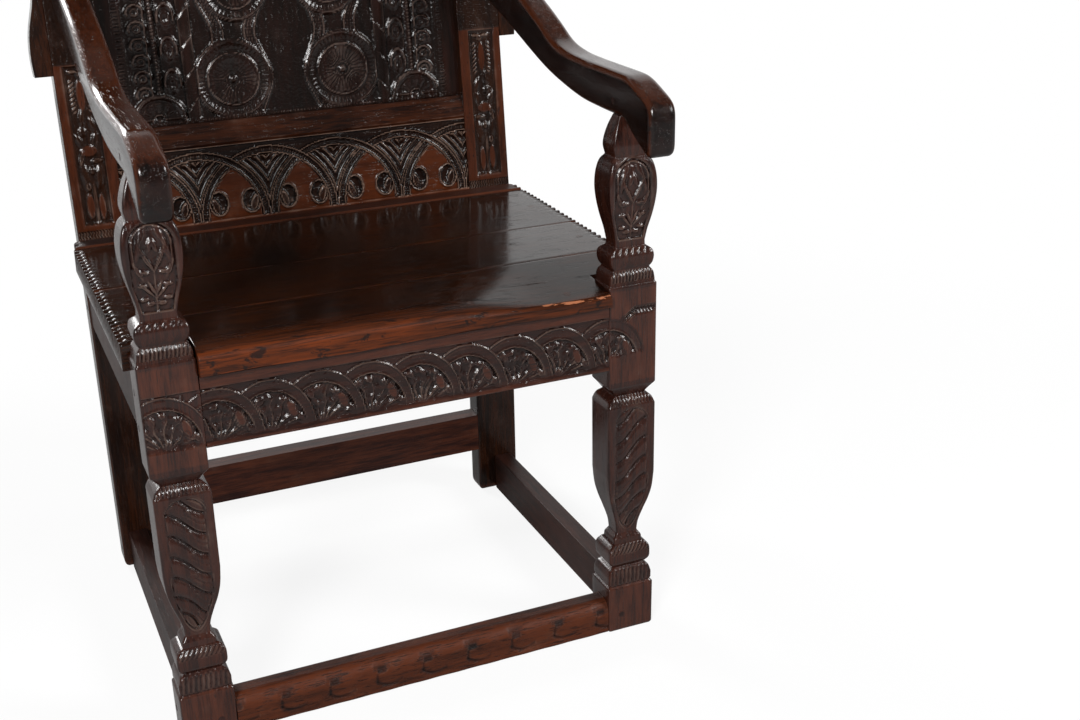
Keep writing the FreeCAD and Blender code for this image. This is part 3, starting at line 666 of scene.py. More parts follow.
def seat_edge_wear(x, y, low):
    """How far the front edge is worn down, worn up from below, and rubbed bare."""
    from_edge = y - low.y
    sagging = rise(x, sag_from, sag_full)
    t = np.clip(from_edge / (nosing_reach + 5 * np.sin(x / 61.0)), 0, 1)
    rolled = (nosing_drop + 2.0 * np.sin(x / 83.0 + 1)) * (1 - np.sqrt(1 - (1 - t) ** 2.2))
    lip = 2.0 * (1 - rise(from_edge, 0, 5))
    sagged = sag_drop * np.clip(1 - from_edge / sag_reach, 0, 1) ** 1.1 + lip
    under = (1.6 + 1.2 * np.sin(x / 37.0)) * (1 - rise(from_edge, 0, 9))
    reach = rubbed_reach - rubbed_loss * rise(x, -60, 170)
    rubbed = 0.62 * (1 - rise(from_edge, 0.15 * reach, reach)) + 0.38 * (1 - rise(from_edge, 2, 14))
    return rolled, sagged, sagging, under, rubbed * (0.75 + 0.25 * rise(-x, -150, 60))


def board_wear(x, y, low, high, half_x, front_worn):
    """How far the top and the underside are worn away, the nicks, and how bare the wax is."""
    inward = np.minimum(y - low.y, high.y - y)
    side = half_x - np.abs(x)
    nick = edge_nick_depth * nicks(y + 2 * np.sin(y / 19), edge_nick_pitch) * (1 - rise(side, 0, 8))
    nick = nick * (half_x > post_middle)
    wide = high.y - low.y > wide_board
    dip = 0.8 * nick + (0.2 * (1 + wander(x, y, 31)) + 0.5 * (1 - rise(inward, 0, 3))) * wide
    bare = 0.55 * (1 - rise(inward, 0, 4)) + 0.4 * (not wide)
    under = np.zeros_like(y)
    if front_worn:
        rolled, sagged, sagging, under, rubbed = seat_edge_wear(x, y, low)
        dip = dip + rolled * (1 - sagging) + sagged * sagging
        bare = np.maximum(bare, rubbed)
    return dip, under, nick, bare


def board_box(node):
    """A board's box, less its surface wear and with its seams half closed."""
    low, high = [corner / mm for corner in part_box(node)]
    wear = Vector((surface_wear, -board_seam / 2, surface_wear))
    return low + wear, high - wear


def seat_board(name, node, front_worn):
    """One board, with its side edges nicked along the top and its flats slightly dished."""
    low, high = board_box(node)
    sx, sz, nx, nz = ring(board_steps, board_side_faces)
    sz, nz = -sz, -nz
    shelf = np.array([0, 0.5, 1.2, 2.2, 3.4])
    flat = np.arange(low.y + 5, high.y - 5, board_spacing)
    y_at = np.concatenate([low.y + shelf, flat, high.y - shelf[::-1]])
    post_rear = front_plane + post_depth + notch_gap
    if front_worn:
        front = low.y + nosing_reach * (1 - np.cos(np.linspace(0, 1, nosing_steps) * math.pi / 2))
        y_at = np.concatenate([front, np.arange(low.y + nosing_reach + 2, post_rear, board_spacing),
                               [post_rear, post_rear + 0.01], y_at[y_at > post_rear + 1]])

    def place(i, j):
        y = y_at[j]
        half_x = np.full_like(y, high.x)
        if front_worn:
            half_x = np.where(y > post_rear, half_x, post_middle - post_width / 2 - notch_gap)
        half_z = (high.z - low.z) / 2
        x = sx[i] * (half_x - board_arris) + nx[i] * board_arris
        z = (low.z + high.z) / 2 + sz[i] * (half_z - board_arris) + nz[i] * board_arris
        above = np.clip((sz[i] + 1) / 2, 0, 1)
        dip, under, nick, bare = board_wear(x, y, low, high, half_x, front_worn)
        x = x - np.sign(x) * nick * above * 0.7
        z = z - dip * above + under * (1 - above)
        chipped = rise(x, chips_from, chips_full) * between(y - low.y, -2, 9, 4) * front_worn
        return np.column_stack([x, y, z]), {"cut": nick * above / 2, "worn": bare, "chipped": chipped}

    return skin(name, len(sx), len(y_at), place)


def seat_oak():
    """Waxed boards: streaks and knots, warm towards the front edge, with a hard shine."""
    finish = Finish(bpy.data.materials.new("SeatOak"))
    place = finish.place()
    cloud = finish.noise(place, 9.0, 3.0)
    streak_place, crack_place, fleck_place = (
        finish.stretched(place, scale) for scale in ([1.6, 34.0, 20.0], [5.0, 30.0, 8.0], [3.0, 80.0, 60.0]))
    streak = finish.noise(streak_place, 11.0, 5.0, Roughness=0.6, Distortion=0.4)
    crack = finish.noise(crack_place, 7.0, 4.0, Roughness=0.7, Distortion=0.6)
    fleck = finish.noise(fleck_place, 9.0, 3.0)
    worn = finish.mark("worn")
    tone = finish.ramp(streak * 0.75 + cloud * 0.45, 0.42, 0.76)
    colour = finish.blend(tone, (0.005, 0.002, 0.0012, 1), (0.027, 0.0075, 0.0025, 1))
    colour = finish.blend(finish.ramp(worn * 0.6 + streak * 1.1, 0.55, 1.25), colour, (0.058, 0.013, 0.003, 1))
    colour = finish.blend(finish.ramp(worn * 1.1 + streak * 1.0, 1.3, 1.95), colour, (0.14, 0.026, 0.0035, 1))
    dashes = finish.ramp(crack, 0.57, 0.63)
    flecks = finish.ramp(fleck, 0.54, 0.62)
    colour = finish.blend(flecks * 0.6, colour, (0.006, 0.0025, 0.0015, 1))
    colour = finish.blend(dashes * 0.85, colour, (0.006, 0.003, 0.0025, 1))
    chips = finish.ramp(crack + finish.mark("chipped") * 0.5, 1.03, 1.07)
    colour = finish.blend(chips, colour, (0.36, 0.13, 0.06, 1))
    rough = finish.ramp(cloud * 0.6 + worn * 0.4, 0.3, 1.2) * 0.2
    rough = rough + dashes * (1 - worn) * 0.12 + worn * 0.22 + 0.13
    height = streak * 0.35 + cloud * 0.5 - dashes * 0.9 - flecks * 0.15
    bump = finish.node("ShaderNodeBump", None, {"Height": height, "Strength": 0.3, "Distance": 0.0005})
    return finish.surface(finish.node("ShaderNodeBsdfPrincipled", None, {
        "Base Color": colour, "Roughness": rough, "Normal": bump, "IOR": 1.34}))


waxed_boards = seat_oak()
for name, node in (("SeatBoardFront", "seat_board_front"), ("SeatBoardMiddle", "seat_board_middle"),
                   ("SeatBoardBack", "seat_board_back")):
    settle(seat_board(name, node, node == "seat_board_front"), waxed_boards, "seat_oak", node)


def seat_head(spot):
    """How far a peg's head is pared to lie level with the worn board."""
    front = spot.y < front_plane + post_depth
    low, high = board_box("seat_board_front" if front else "seat_board_middle")
    x, y = np.array([spot.x]), np.array([spot.y if front else (low.y + high.y) / 2])
    dip = board_wear(x, y, low, high, np.array([high.x]), front)[0]
    return (0, 0, -float(dip[0]) - surface_wear + 0.1)


settle(pared_pegs("SeatPegs", "seat_pegs", lambda spot: spot.z > seat_height - 1, seat_head, worn=0.5),
       waxed_boards, "peg_oak", "seat_pegs")


# The side and rear rails and stretchers are plain sawn oak, tenoned and pegged, and darker where no hand
# or cloth has polished them. Their solids keep their shapes, but for the arrises.
timber_round = 1.6
eased_sharp_degrees = 14
square_degrees = 35


def eased(name, node, round_over):
    """A copy of a plain timber with its arrises worn round."""
    work = bmesh.new()
    work.from_mesh(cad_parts[node].data)
    bmesh.ops.remove_doubles(work, verts=work.verts, dist=weld_gap)
    bmesh.ops.dissolve_limit(work, angle_limit=math.radians(1), verts=work.verts, edges=work.edges)
    square = math.radians(square_degrees)
    sharp = [edge for edge in work.edges if edge.is_manifold and edge.calc_face_angle() > square]
    bmesh.ops.bevel(work, geom=sharp, offset=round_over * mm, segments=3, profile=0.5, affect="EDGES",
                    material=-1, clamp_overlap=True)
    bmesh.ops.recalc_face_normals(work, faces=work.faces)
    mesh = bpy.data.meshes.new(name)
    work.to_mesh(mesh)
    work.free()
    mesh.shade_smooth()
    mesh.set_sharp_from_angle(angle=math.radians(eased_sharp_degrees))
    mesh.attributes.new("bare", "FLOAT", "POINT").data.foreach_set("value", [0.5] * len(mesh.vertices))
    return linked(name, mesh)


plain_oak = oak("PlainOak", (0.010, 0.004, 0.003, 1), (0.044, 0.013, 0.007, 1), (0.085, 0.022, 0.008, 1),
                0.25, "x", 0.42, 0.5, 1.3)
plain_oak_deep = oak("PlainOakSides", (0.009, 0.004, 0.003, 1), (0.034, 0.010, 0.006, 1),
                     (0.070, 0.018, 0.008, 1), 0.2, "y", 0.42, 0.5, 1.3)
# The rear stretcher gets a lighter copy of the plain oak: painted light where it stands in shade.
plain_oak_rear_lightened = oak("PlainOakRearLightened", (0.016, 0.005, 0.004, 1), (0.072, 0.020, 0.010, 1),
                     (0.12, 0.031, 0.011, 1), 0.25, "x", 0.36, 0.5, 1.32)
for name, node, timber in (("RearSeatRail", "rear_seat_rail", plain_oak),
                           ("RearStretcher", "rear_stretcher", plain_oak_rear_lightened),
                           ("SideSeatRail_right", "side_seat_rail_right", plain_oak_deep),
                           ("SideSeatRail_left", "side_seat_rail_left", plain_oak_deep),
                           ("SideStretcher_right", "side_stretcher_right", plain_oak_deep),
                           ("SideStretcher_left", "side_stretcher_left", plain_oak_deep)):
    settle(eased(name, node, timber_round), timber, "plain_oak", node)

# The slip fills the seat from the boards to the stiles: a narrow strip of plain oak that stands a little
# above the boards, pegged down like them.
settle(seat_board("SeatBackSlip", "seat_back_slip", False), plain_oak, "seat_oak", "seat_back_slip")


# Everything in the back leans, so it is drawn upright, measured up the slope from the seat and back from
# the stiles' front faces, and then tipped about the line where those faces meet the seat.
rake = math.radians(5.7)
frame_depth = 402.0
stile_front = front_plane + frame_depth


def leaned(x, back, up):
    """A place in the leaning back, from its distance behind the front face and its height up the slope."""
    y = stile_front + up * math.sin(rake) + back * math.cos(rake)
    z = seat_height + up * math.cos(rake) - back * math.sin(rake)
    return np.column_stack([x, y, z])


# The lower rail of the back is carved with interlaced arches. Two nicked bands meet at each foot, leaf
# blades fill the space above the foot, and a pair of looped buds sits in the bare ground under each crossing.
arch_pitch = 85.5
arch_foot = 4.0
arch_height = 84.0
arch_band = 10.5
back_ground = 3.6
arch_boldness = 1.3
bottom_rail_low = 0.8
bottom_rail_top = 124.0
chamfer_foot = 93.0
chamfer_depth = 5.5
back_side_faces = 12
back_arris_wear = 2


def outside_arch(x, up, centre):
    """How far a place lies outside the outer line of one arch."""
    dx, dz = x - centre, np.maximum(up - arch_foot, -2.0)
    radial = np.hypot(dx / arch_pitch, dz / arch_height)
    return (radial - 1) * np.hypot(dx, dz) / np.maximum(radial, 1e-3)


def interlaced_arches(x, up):
    """Depth of cut and bareness over the lower rail of the back."""
    field = between(up, arch_foot - 1, chamfer_foot, 1.2)
    centres = [arch_pitch * (k + 0.5) for k in range(-4, 4)]
    nearest = centres[0] + arch_pitch * np.rint((x - centres[0]) / arch_pitch)
    off = outside_arch(x, up, nearest + np.where(x >= nearest, arch_pitch, -arch_pitch))
    blades = ridge(np.mod(off / 7.5 + 0.25, 1) - 0.5, 0.12)
    tips = oval(np.abs(x - nearest), up, 8, 76, 11, 4.5, 0.5)
    tulip = back_ground - 0.6 - 2.8 * blades - 1.6 * tips
    depth = np.full_like(x, back_ground)
    covered = np.zeros_like(x)
    for centre in centres:
        outward = outside_arch(x, up, centre)
        covered += 1 - rise(outward, -arch_band - 0.5, -arch_band + 0.5)
    lens = rise(covered, 1.5, 2.0)
    single = rise(covered, 0.5, 1.0) * (1 - lens)
    depth = laid(laid(depth, tulip, single), 1.9, lens)
    bare = lens
    bud_x = np.abs(x - nearest) - 23.0
    bud = np.hypot(bud_x, (up - 23.0) / 1.3)
    loop = ridge(bud - 11.0, 1.1) * lens
    within = (1 - rise(bud, 10.2, 11.2)) * lens
    tear = oval(bud_x + 0.25 * (up - 20), up, -4.0, 20.0, 4.6, 10.0, 0.2)
    crescent = back_ground + 0.6 - 1.8 * oval(bud_x, up, 4.0, 14.0, 3.5, 4.0, 0.6)
    depth = laid(depth, laid(crescent, 0.6 + 1.2 * rise(bud_x, -6, 2), tear), within)
    depth = depth + (0.1 - depth) * loop
    bare = bare * (1 - within) * (1 - loop)
    for rising in (True, False):
        for centre in centres:
            outward = outside_arch(x, up, centre)
            leg = (x < centre) if rising else (x >= centre)
            band = between(outward, -arch_band, 0.0, 0.7) * leg * rise(up, arch_foot - 0.5, arch_foot + 0.5)
            lip = np.clip(ridge(outward + 1.0, 1.1) + ridge(outward + arch_band - 1.0, 1.1), 0, 1)
            along = np.arctan2(up - arch_foot, x - centre) * arch_pitch
            depth = laid(depth, 2.6 - 2.5 * lip + 0.6 * nicks(along, 3.6) * (1 - lip), band)
            bare = bare * (1 - band)
    depth = depth * field
    bare = 1 - (1 - bare) * field
    depth = depth * arch_boldness
    chamfer = np.clip((up - chamfer_foot) / (bottom_rail_top - chamfer_foot), 0, 1)
    hollow = 2.4 * ridge(up - chamfer_foot - 1.0, 1.6)
    depth = depth + chamfer_depth * chamfer + hollow
    # The chamfer is made less bare, so less warm and darker: painted shade on its upward slope.
    return depth, bare * (1 - 0.35 * (chamfer > 0))


def leaning_bar(name, width_half, thickness, low, high, setback, carving, step=1.4, arris=1.2,
                back_relief=None):
    """A board of the back that runs from side to side, carved on its front face."""
    su, sb, nu, nb = ring(int((high - low) / step), back_side_faces)
    count = int(2 * width_half / step)
    x_at = np.linspace(-width_half, width_half, count)

    def place(i, j):
        x = x_at[j]
        up_mid = (low + high) / 2
        up = up_mid + su[i] * ((high - low) / 2 - arris) + nu[i] * arris
        back = setback + thickness / 2 + sb[i] * (thickness / 2 - arris) + nb[i] * arris
        depth, bare, edge = relief(carving, x, up)
        facing = faced(nb[i])
        back = back + (depth + surface_wear) * facing
        if back_relief is not None:
            back = back - back_relief(x, up) * np.clip(nb[i], 0, 1)
        worn = arris_wear(back_arris_wear, nu[i], nb[i])
        return leaned(x, back, up), marks_of(depth, bare, edge, facing, worn)

    return skin(name, len(su), count, place)


back_oak = oak("BackOak", (0.006, 0.0025, 0.002, 1), (0.026, 0.008, 0.003, 1), (0.070, 0.0155, 0.004, 1),
               0.32, "x", 0.15, 0.6, 1.32, 0.58, (0.26, 0.17, 0.13, 1))
rear_inner = 218.0
back_rail_thickness = 26.0
settle(leaning_bar("BackBottomRail", rear_inner, back_rail_thickness, bottom_rail_low, bottom_rail_top, 0.0,
                   interlaced_arches), back_oak, "carved_oak", "back_bottom_rail")


# The panel is one thin board held loose in the grooves of the frame. It is carved with ringed daisies between
# leafy columns, and outside each column rises a stem with curled leaves from a half daisy.
panel_low = 117.0
panel_high = 437.0
panel_half_width = 225.0
panel_thickness = 10.0
panel_tongue = 7
panel_setback = 11.0
daisy_middle = (68.0, 169.0)
ring_middle = (56.0, 274.0)
upper_daisy_middle = (68.0, 379.0)
strand_middle = 62
strand_sway = 8
strand_half = 7.5
column_half = 8.5
fan_middle = (160.5, 127.0)
stem_x = 157.0
column_x = 119.0
panel_ground = 4.2


def daisy(dx, dz, inner, outer, petals):
    """A many-petalled flower in two rings, as a depth and a mask."""
    r = np.hypot(dx, dz)
    turn = np.arctan2(dz, dx)
    petal = np.abs(np.sin(turn * petals / 2)) ** 0.6
    face = 1.2 + 3.2 * (1 - (r / inner) ** 2) - 1.1 * petal * between(r, 8, inner - 2, 3)
    face -= 3.2 * (1 - rise(r, 1.5, 6.0)) + 1.0 * ridge(r - 8.0, 1.0)
    roll = np.clip((r - inner - 1.5) / (outer - inner - 3), 0, 1)
    rim = 3.9 - 3.2 * roll - 3.0 * ridge(r - inner, 1.6)
    rim += 0.8 * nicks(turn * outer, 6.0) * between(roll, 0.2, 0.95, 0.15)
    rim += 1.2 * rise(r, outer - 0.5, outer + 0.5)
    mask = 1 - rise(r, outer + 1.5, outer + 3)
    return np.where(r < inner - 1.5, face, rim), mask


def strand(u, up, middle, half):
    """A flat nicked band that links the rings, as a depth and a mask."""
    off = u - middle
    mask = 1 - rise(np.abs(off), half, half + 1)
    return 2.4 - 2.0 * ridge(np.abs(off) - half + 1, 1.1) + 0.8 * nicks(off, 3.6) + 0.4 * nicks(up, 4.0), mask


def panel_carving(x, up):
    """Depth of cut and bareness over the panel, the same on both sides of the middle."""
    u = np.abs(x)
    depth = panel_ground + 0.4 * wander(u, up, 7)
    swing = np.cos((up - daisy_middle[1]) / (ring_middle[1] - daisy_middle[1]) * 2 * np.pi)
    for side in (-1, 1):
        middle = strand_middle + side * 27 + side * strand_sway * swing
        depth = laid(depth, *strand(u, up, middle, strand_half))
    for middle, inner, outer, petals in ((daisy_middle, 30.5, 45, 30), (ring_middle, 24, 37, 24),
                                         (upper_daisy_middle, 30.5, 45, 30)):
        depth = laid(depth, *daisy(u - middle[0], up - middle[1], inner, outer, petals))
    column = between(u, column_x - column_half, column_x + column_half, 1.2)
    swell = np.sqrt(np.clip(1 - ((u - column_x) / column_half) ** 2, 0, 1))
    leaf = np.mod((up + 1.3 * (u - column_x)) / 36.0, 1)
    depth = depth * (1 - column) + column * (4.2 - 3.9 * swell * (0.7 + 0.3 * rise(leaf, 0.0, 0.9)))
    bay = rise(u, column_x + 8, column_x + 9)
    side = np.abs(u - stem_x)
    stem = ridge(side, 2.6)
    pitch = np.where(u < stem_x, 38.0, 19.0)
    drop = (np.mod((up - 150.0) / pitch, 1) - 0.5) * pitch
    curl = np.hypot((side - 17) / 1.1, drop / (pitch / 19.0))
    bay_depth = 3.8 - 3.2 * ridge(curl - 8.4, 1.5) * rise(drop, -7, 0) - 1.9 * ridge(curl - 3.6, 1.8)
    bay_depth += 0.9 * ridge(side - 5.5, 1.8) - 1.3 * ridge(side - 8.0, 1.0)
    bay_depth = laid(bay_depth, 0.3 + 1.0 * nicks(up, 4.2), stem)
    fan_r = np.hypot(u - fan_middle[0], up - fan_middle[1])
    fan_turn = np.arctan2(up - fan_middle[1], u - fan_middle[0])
    fan = 1 - rise(fan_r, 31.0, 32.5)
    petals = 1.3 * np.abs(np.sin(fan_turn * 7)) ** 0.6 * between(fan_r, 8, 24, 3)
    rings = 2.4 * ridge(fan_r - 29.0, 1.5) + 1.9 * ridge(fan_r - 8, 1.2) + 2.0 * (1 - rise(fan_r, 0.5, 3.5))
    fan_depth = 1.6 + 2.2 * (1 - (fan_r / 29.0) ** 2) - petals - rings
    fan_depth -= 2.0 * ridge(up - fan_middle[1] - 2, 1.3)
    depth = laid(depth, laid(bay_depth, fan_depth, fan), bay)
    border = rise(u, 190, 191.5)
    border_depth = 0.8 + 1.1 * nicks(up, 4.2) * between(u, 192, 201, 1.5) - 0.5 * ridge(u - 191, 1.2)
    depth = laid(depth, border_depth, border)
    depth = laid(depth, 0.6 + 0.8 * nicks(u, 4.2), 1 - rise(up, 125.5, 127.0))
    return np.maximum(depth, 0.1), 0.25 * rise(u, 206, 210)


def panel_back(x, up):
    """The raised field behind: thin at the edges, with a bevel all round."""
    edge = np.minimum(np.minimum(rear_inner - np.abs(x), up - bottom_rail_top), panel_high - panel_tongue - up)
    return 4.0 * (1 - rise(edge, 2.0, 20.0))


panel_oak = oak("PanelOak", (0.006, 0.003, 0.002, 1), (0.018, 0.006, 0.004, 1), (0.045, 0.011, 0.005, 1),
                0.15, "z", 0.13, 0.5, 1.36, 0.6, (0.13, 0.09, 0.075, 1))
settle(leaning_bar("BackPanel", panel_half_width, panel_thickness, panel_low, panel_high, panel_setback,
                   panel_carving, step=1.7, arris=0.8, back_relief=panel_back),
       panel_oak, "carved_oak", "back_panel")


# The rear posts are legs below the seat and raked stiles above it. A sunk strip of linked leaves runs up the
# front of each stile as far as the arm, inside a plain worn margin.
stile_width = 56.0
stile_depth = 30.0
stile_middle = 246.0
stile_length = 520.18
strip_half = 16.5
strip_shift = 1.5
strip_low, strip_high = 18.0, 202.0
stile_arris = 1.8
stile_arris_wear = 2.5
stile_side_faces = 6
foot_round = 8.0
foot_reach = 12.0
foot_steps, leg_steps = 9, 60
leg_from = 16
bend_gap = 4
stile_windows = ((-6.5, 38, 3.6, 15), (6.5, 40, 4.2, 15), (0.0, 104, 9.5, 6.5), (0.0, 168, 4.5, 18))
stile_leaves = ((0.0, 44, 2.2, 24, 0), (-8.5, 74, 4.5, 12, 0.15), (7.5, 76, 4.5, 13, -0.15),
                (6.0, 62, 3, 4, 0), (-1.0, 81, 3, 4, 0), (-7.5, 92, 6, 2.5, 0.3), (9.0, 96, 2.5, 8, 0.3),
                (-8.5, 116, 3.5, 9, 0.2), (4.0, 126, 4, 4.5, 0), (9.0, 117, 3, 7, -0.3),
                (-8.0, 134, 2.8, 8, -0.2), (2.5, 142, 3.2, 9, 0.1), (-1.5, 192, 3.5, 3.5, 0),
                (-7.0, 195, 5, 2, 0.4), (6.0, 195, 5, 2, -0.4))


def stile_strip(across, up):
    """Curled leaves and red windows in a sunk strip."""
    edge = np.maximum(np.abs(across) - strip_half, np.maximum(strip_low - up, up - strip_high))
    inside = 1 - rise(edge, -0.8, 0.2)
    depth = np.full_like(across, 2.8)
    bare = 1 - inside
    for middle_x, middle_up, half_x, half_up in stile_windows:
        window = oval(across, up, middle_x, middle_up, half_x, half_up, 0.2) * inside
        depth = laid(depth, 1.5, window)
        bare = np.maximum(bare, window)
    for middle_x, middle_up, half_x, half_up, lean in stile_leaves:
        depth -= 2.2 * oval(across + lean * (up - middle_up), up, middle_x, middle_up, half_x, half_up, 0.5)
    teeth = between(up, 146, 188, 4) * ridge(np.abs(across) - 9.5, 2.6)
    depth -= 1.6 * teeth * nicks(up + 0.8 * np.abs(across), 5.2)
    depth = (np.maximum(depth, 0.2) - 1.2 * ridge(edge + 1.5, 0.9)) * inside + 0.5 * ridge(edge - 0.8, 0.6)
    nicked = between(up, -2.0, 12.0, 1.5)
    depth = depth + nicked * (0.4 + 0.9 * nicks(across + 0.5 * np.sin(up), 3.4))
    # Above the strip the stile is painted darker: painted shade where the arm shades it.
    shade_under_arm = rise(up, strip_high, strip_high + 3)
    return np.maximum(depth, 0), np.clip(bare - 0.6 * nicked - shade_under_arm, 0, 1)


def rear_post(name, side):
    """One rear post: straight to the seat, then tipped back. Its sections turn halfway at the bend."""
    upper = np.linspace(0, stile_length, int(stile_length / carving_step))
    lower = np.concatenate([np.linspace(0, foot_reach, foot_steps),
                            np.linspace(leg_from, seat_height - bend_gap, leg_steps)])
    sx, sb, nx, nb = ring(int(stile_width / carving_step), stile_side_faces)

    def place(i, j):
        x = side * (stile_middle + sx[i] * (stile_width / 2 - stile_arris) + nx[i] * stile_arris)
        back = stile_depth / 2 + sb[i] * (stile_depth / 2 - stile_arris) + nb[i] * stile_arris
        below = j < len(lower)
        up = np.where(below, 0, upper[np.clip(j - len(lower), 0, len(upper) - 1)])
        low_z = lower[np.clip(j, 0, len(lower) - 1)]
        depth, bare, edge = relief(stile_strip, np.abs(x) - stile_middle - strip_shift, up)
        facing = faced(nb[i]) * ~below
        back = back + (depth + surface_wear) * facing
        near_floor = np.clip(1 - low_z / foot_reach, 0, 1)
        worn_foot = foot_round * (1 - np.sqrt(np.clip(1 - near_floor ** 2, 0, 1))) * below
        x = x - side * (sx[i] + nx[i] * (1 - np.abs(sx[i]))) * worn_foot
        back = back - (sb[i] + nb[i] * (1 - np.abs(sb[i]))) * worn_foot
        mitre = back * math.tan(rake / 2)
        slanted = leaned(x, back, up - mitre * (1 - up / stile_length))
        upright = np.column_stack([x, stile_front + back, low_z * (1 - mitre / seat_height)])
        bare = np.where(below, 0.3 - 0.3 * rise(low_z, 4, 16), bare)
        worn = arris_wear(stile_arris_wear, nx[i], nb[i]) + np.where(below, 1 - rise(low_z, 3, 14), 0)
        marks = marks_of(depth, bare, edge, facing, worn)
        # The same place gets more of the cut mark, which darkens it further: painted shade under the arm.
        marks["cut"] = marks["cut"] + 0.9 * rise(up, strip_high, strip_high + 3)
        return np.where(below[:, None], upright, slanted), marks

    return skin(name, len(sx), len(lower) + len(upper), place)


stile_oak = oak("StileOak", (0.007, 0.003, 0.002, 1), (0.026, 0.008, 0.003, 1), (0.062, 0.015, 0.0055, 1),
                0.3, "z", 0.16, 0.6, 1.32, 0.58, (0.2, 0.13, 0.1, 1))
for side, word in sides:
    settle(rear_post("RearPost_" + word, side), stile_oak, "polished_oak", "rear_post_" + word)


# The top rail, the crest over it and the brackets beside the stiles close the back. They are plain sawn
# boards in the oak of the back and of the stiles, tenoned, or pegged to the stiles' edges.
back_round = 1.5
for name, node, timber in (("BackTopRail", "back_top_rail", back_oak), ("CrestRail", "crest_rail", back_oak),
                           ("BackBracket_right", "back_bracket_right", stile_oak),
                           ("BackBracket_left", "back_bracket_left", stile_oak)):
    settle(eased(name, node, back_round), timber, "polished_oak", node)


# Each arm is sawn from a deep plank, swept down from the stile and level over the post, and ends in a blunt
# scroll. Hands have rounded its arrises and polished it more than any other piece.
arm_drop = 31.0
arm_overhang = 62.0
arm_depth = 48.0
arm_rise = 92.0
arm_round = 7.0
arm_steps = 12
arm_point_gap = 2.0
arm_smoothings = 8
arm_turn_steps = 7
arm_face_steps = 6
underside_runs = ((0.0, 0.0), (0.14, 0.02), (0.27, 0.1), (0.38, 0.2), (0.49, 0.34), (0.62, 0.52),
                  (0.8, 0.75), (1.0, 1.0))
topside_runs = ((1.0, 1.0), (0.8, 0.78), (0.63, 0.57), (0.51, 0.38), (0.42, 0.22), (0.33, 0.05),
                (0.23, -0.02), (0.12, -0.035))
hollow_runs = ((0.0, 0.0), (0.18, 0.23), (0.42, 0.55), (0.72, 0.86), (0.84, 1.0))
scroll_front_runs = ((0.84, 1.0), (0.953, 0.906), (1.0, 0.68))
brow_runs = ((1.0, 0.28), (0.965, 0.44), (0.88, 0.57), (0.72, 0.67))
crown_runs = ((0.72, 0.67), (0.5, 0.775), (0.3, 0.865), (0.1, 0.925), (-0.14, 0.94))


def arm_outline():
    """The arm from the side, anticlockwise from the flat over the post, as places in Y and Z."""
    post_rear = front_plane + post_depth
    sweep_end = stile_front + (arm_seat_height + arm_rise - seat_height) * math.tan(rake)
    sweep = sweep_end - post_rear
    top = arm_seat_height + arm_depth

    def scroll(runs, base, reach):
        line = curve_through(runs, arm_steps)
        return np.column_stack([front_plane - arm_overhang * line[:, 0], base + reach * line[:, 1]])

    def swept(runs, base):
        line = curve_through(runs, arm_steps)
        return np.column_stack([post_rear + sweep * line[:, 0], base + arm_rise * line[:, 1]])

    below = [scroll(runs, arm_seat_height, -arm_drop) for runs in (hollow_runs, scroll_front_runs)]
    above = [scroll(runs, arm_seat_height, arm_depth) for runs in (brow_runs, crown_runs)]
    parts = [swept(underside_runs, arm_seat_height)[::-1], *below, *above, swept(topside_runs, top)[::-1]]
    line = even_steps(np.vstack(parts), arm_point_gap)
    for _ in range(arm_smoothings):
        line[1:-1] = (line[:-2] + 2 * line[1:-1] + line[2:]) / 4
    return line[line[:, 0] < stile_front + (line[:, 1] - seat_height) * math.tan(rake) - 0.1]


def arm(name, node):
    """The outline carried across the arm's thickness, drawn in round both faces to round the arrises."""
    low, high = [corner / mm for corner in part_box(node)]
    line = arm_outline()
    run = np.gradient(line, axis=0)
    inward = np.column_stack([run[:, 1], -run[:, 0]]) / np.hypot(*run.T)[:, None]
    turn = np.linspace(0, math.pi / 2, arm_turn_steps)
    near = low.x + surface_wear + arm_round * (1 - np.sin(turn))
    far = high.x - surface_wear - arm_round * (1 - np.sin(turn))
    middle = np.linspace(near[0], far[0], arm_face_steps + 2)[1:-1]
    x_at = np.concatenate([near[::-1], middle, far])
    drawn_in = arm_round * np.concatenate([1 - np.cos(turn[::-1]), np.zeros(arm_face_steps), 1 - np.cos(turn)])

    def place(i, j):
        spot = line[i] + inward[i] * (drawn_in[j] + surface_wear)[:, None]
        turned = drawn_in[j] / arm_round
        # Upward faces are marked bare, so painted warmer and lighter than the sides: painted light from above.
        return np.column_stack([x_at[j], spot]), {"worn": np.sin(np.pi * turned),
                                                  "bare": 1.1 * np.clip(-inward[i, 1], 0, 1) * (1 - turned)}

    return skin(name, len(line), len(x_at), place)


arm_oak = oak("ArmOak", (0.003, 0.0013, 0.001, 1), (0.011, 0.003, 0.0017, 1), (0.056, 0.014, 0.005, 1),
              0.28, "y", 0.14, 0.6, 1.36, 0.57)
for side, word in sides:
    settle(arm("Arm_" + word, "arm_" + word), arm_oak, "polished_oak", "arm_" + word)


# A plain white floor and surround, with three broad soft lamps: one high in front on each side, and one
# behind the chair. The floor glows for the camera alone, and the backdrop gives the wax its mirror.
floor_half = 6.0
backdrop_middle = (1.6, 3.4, 2.2)
backdrop_scale = (4.4, 2.4, 1, 1)
pure_white = (1, 1, 1, 1)


def sheet(name, size, place, material):
    """A flat sheet of the surroundings."""
    flat = bmesh.new()
    bmesh.ops.create_grid(flat, x_segments=1, y_segments=1, size=size, matrix=place)
    mesh = bpy.data.meshes.new(name)
    flat.to_mesh(mesh)
    flat.free()
    mesh.materials.append(material)
    return linked(name, mesh)


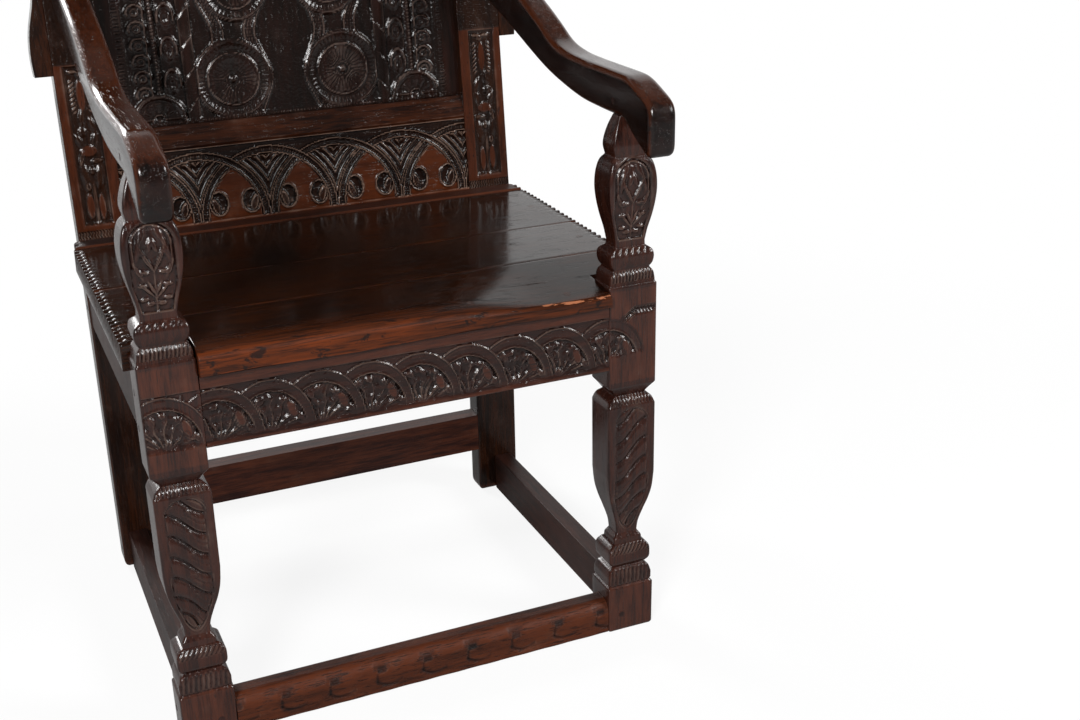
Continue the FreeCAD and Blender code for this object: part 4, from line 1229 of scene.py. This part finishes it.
white = Finish(bpy.data.materials.new("WhiteFloor"))
seen = white.ray("Is Camera Ray")
reach = white.node("ShaderNodeVectorMath", {"operation": "LENGTH"}, {0: white.place()}, 1)
tint = white.blend(white.ray("Is Glossy Ray"), (0.2, 0.2, 0.2, 1), (0.45, 0.45, 0.45, 1))
matt = white.node("ShaderNodeBsdfDiffuse", None, {"Color": white.blend(seen, tint, (0.95, 0.95, 0.95, 1))})
glow = white.node("ShaderNodeEmission", None, {"Color": pure_white, "Strength": 1.0})
clean = white.ramp(reach, 0.7, 1.7) * 0.14 + 0.86
lit = white.node("ShaderNodeMixShader", None, {0: seen * clean, 1: matt, 2: glow})
floor = sheet("Floor", floor_half, Matrix(), white.surface(lit))

pale = Finish(bpy.data.materials.new("WhiteBackdrop"))
shown = pale.ray("Is Camera Ray") + pale.ray("Is Glossy Ray")
pale_glow = pale.node("ShaderNodeEmission", None, {"Color": pure_white, "Strength": shown})
turned_up = Matrix.Rotation(math.pi / 2, 4, "X") @ Matrix.Diagonal(backdrop_scale)
backdrop = sheet("Backdrop", 1.0, Matrix.Translation(backdrop_middle) @ turned_up, pale.surface(pale_glow))

surround = Finish(bpy.data.worlds.new("Surround"))
bpy.context.scene.world = surround.owner
level = surround.node("ShaderNodeMapRange", None,
                      {"Value": surround.ray("Is Camera Ray"), "To Min": 0.17, "To Max": 1.0})
air = surround.node("ShaderNodeBackground", None, {"Color": pure_white, "Strength": level})
surround.node("ShaderNodeOutputWorld", None, {"Surface": air})


def lamp(name, place, aim, width, power):
    """A square soft lamp that faces a point."""
    light = bpy.data.lights.new(name, "AREA")
    light.size = width
    light.energy = power
    held = linked(name, light)
    held.location = place
    held.rotation_euler = (Vector(aim) - Vector(place)).to_track_quat("-Z", "Y").to_euler()


seat_aim = (0.1, 0.0, 0.5)
lamp("KeyLamp", (-1.8, -2.5, 1.9), seat_aim, 0.8, 100)
lamp("FillLamp", (2.6, -2.0, 1.9), seat_aim, 0.9, 85)
lamp("BackLamp", (-1.2, 3.0, 2.0), (0.0, 0.1, 0.6), 1.2, 75)

# The camera stands to the left and above, looking down on the right half of the chair.
camera_place = (-0.4297, -1.5064, 0.9414)
camera_turn = math.radians(23.70)
camera_dip = math.radians(22.28)
camera_roll = math.radians(-1.01)
picture_width = 1080
focal_pixels = 1435.04
sensor_width = 36.0
ahead = Vector((math.sin(camera_turn) * math.cos(camera_dip), math.cos(camera_turn) * math.cos(camera_dip),
                -math.sin(camera_dip)))
level_right = Vector((math.cos(camera_turn), -math.sin(camera_turn), 0))
upward = level_right.cross(ahead)
right = level_right * math.cos(camera_roll) + upward * math.sin(camera_roll)
top = upward * math.cos(camera_roll) - level_right * math.sin(camera_roll)
lens = bpy.data.cameras.new("Camera")
lens.sensor_width = sensor_width
lens.lens = lens.sensor_width * focal_pixels / picture_width
lens.clip_start = 0.05
view = linked("Camera", lens)
view.matrix_world = Matrix.Translation(camera_place) @ Matrix((right, top, -ahead)).transposed().to_4x4()
bpy.context.scene.camera = view
bpy.context.scene.view_settings.view_transform = "Standard"

bpy.context.view_layer.update()
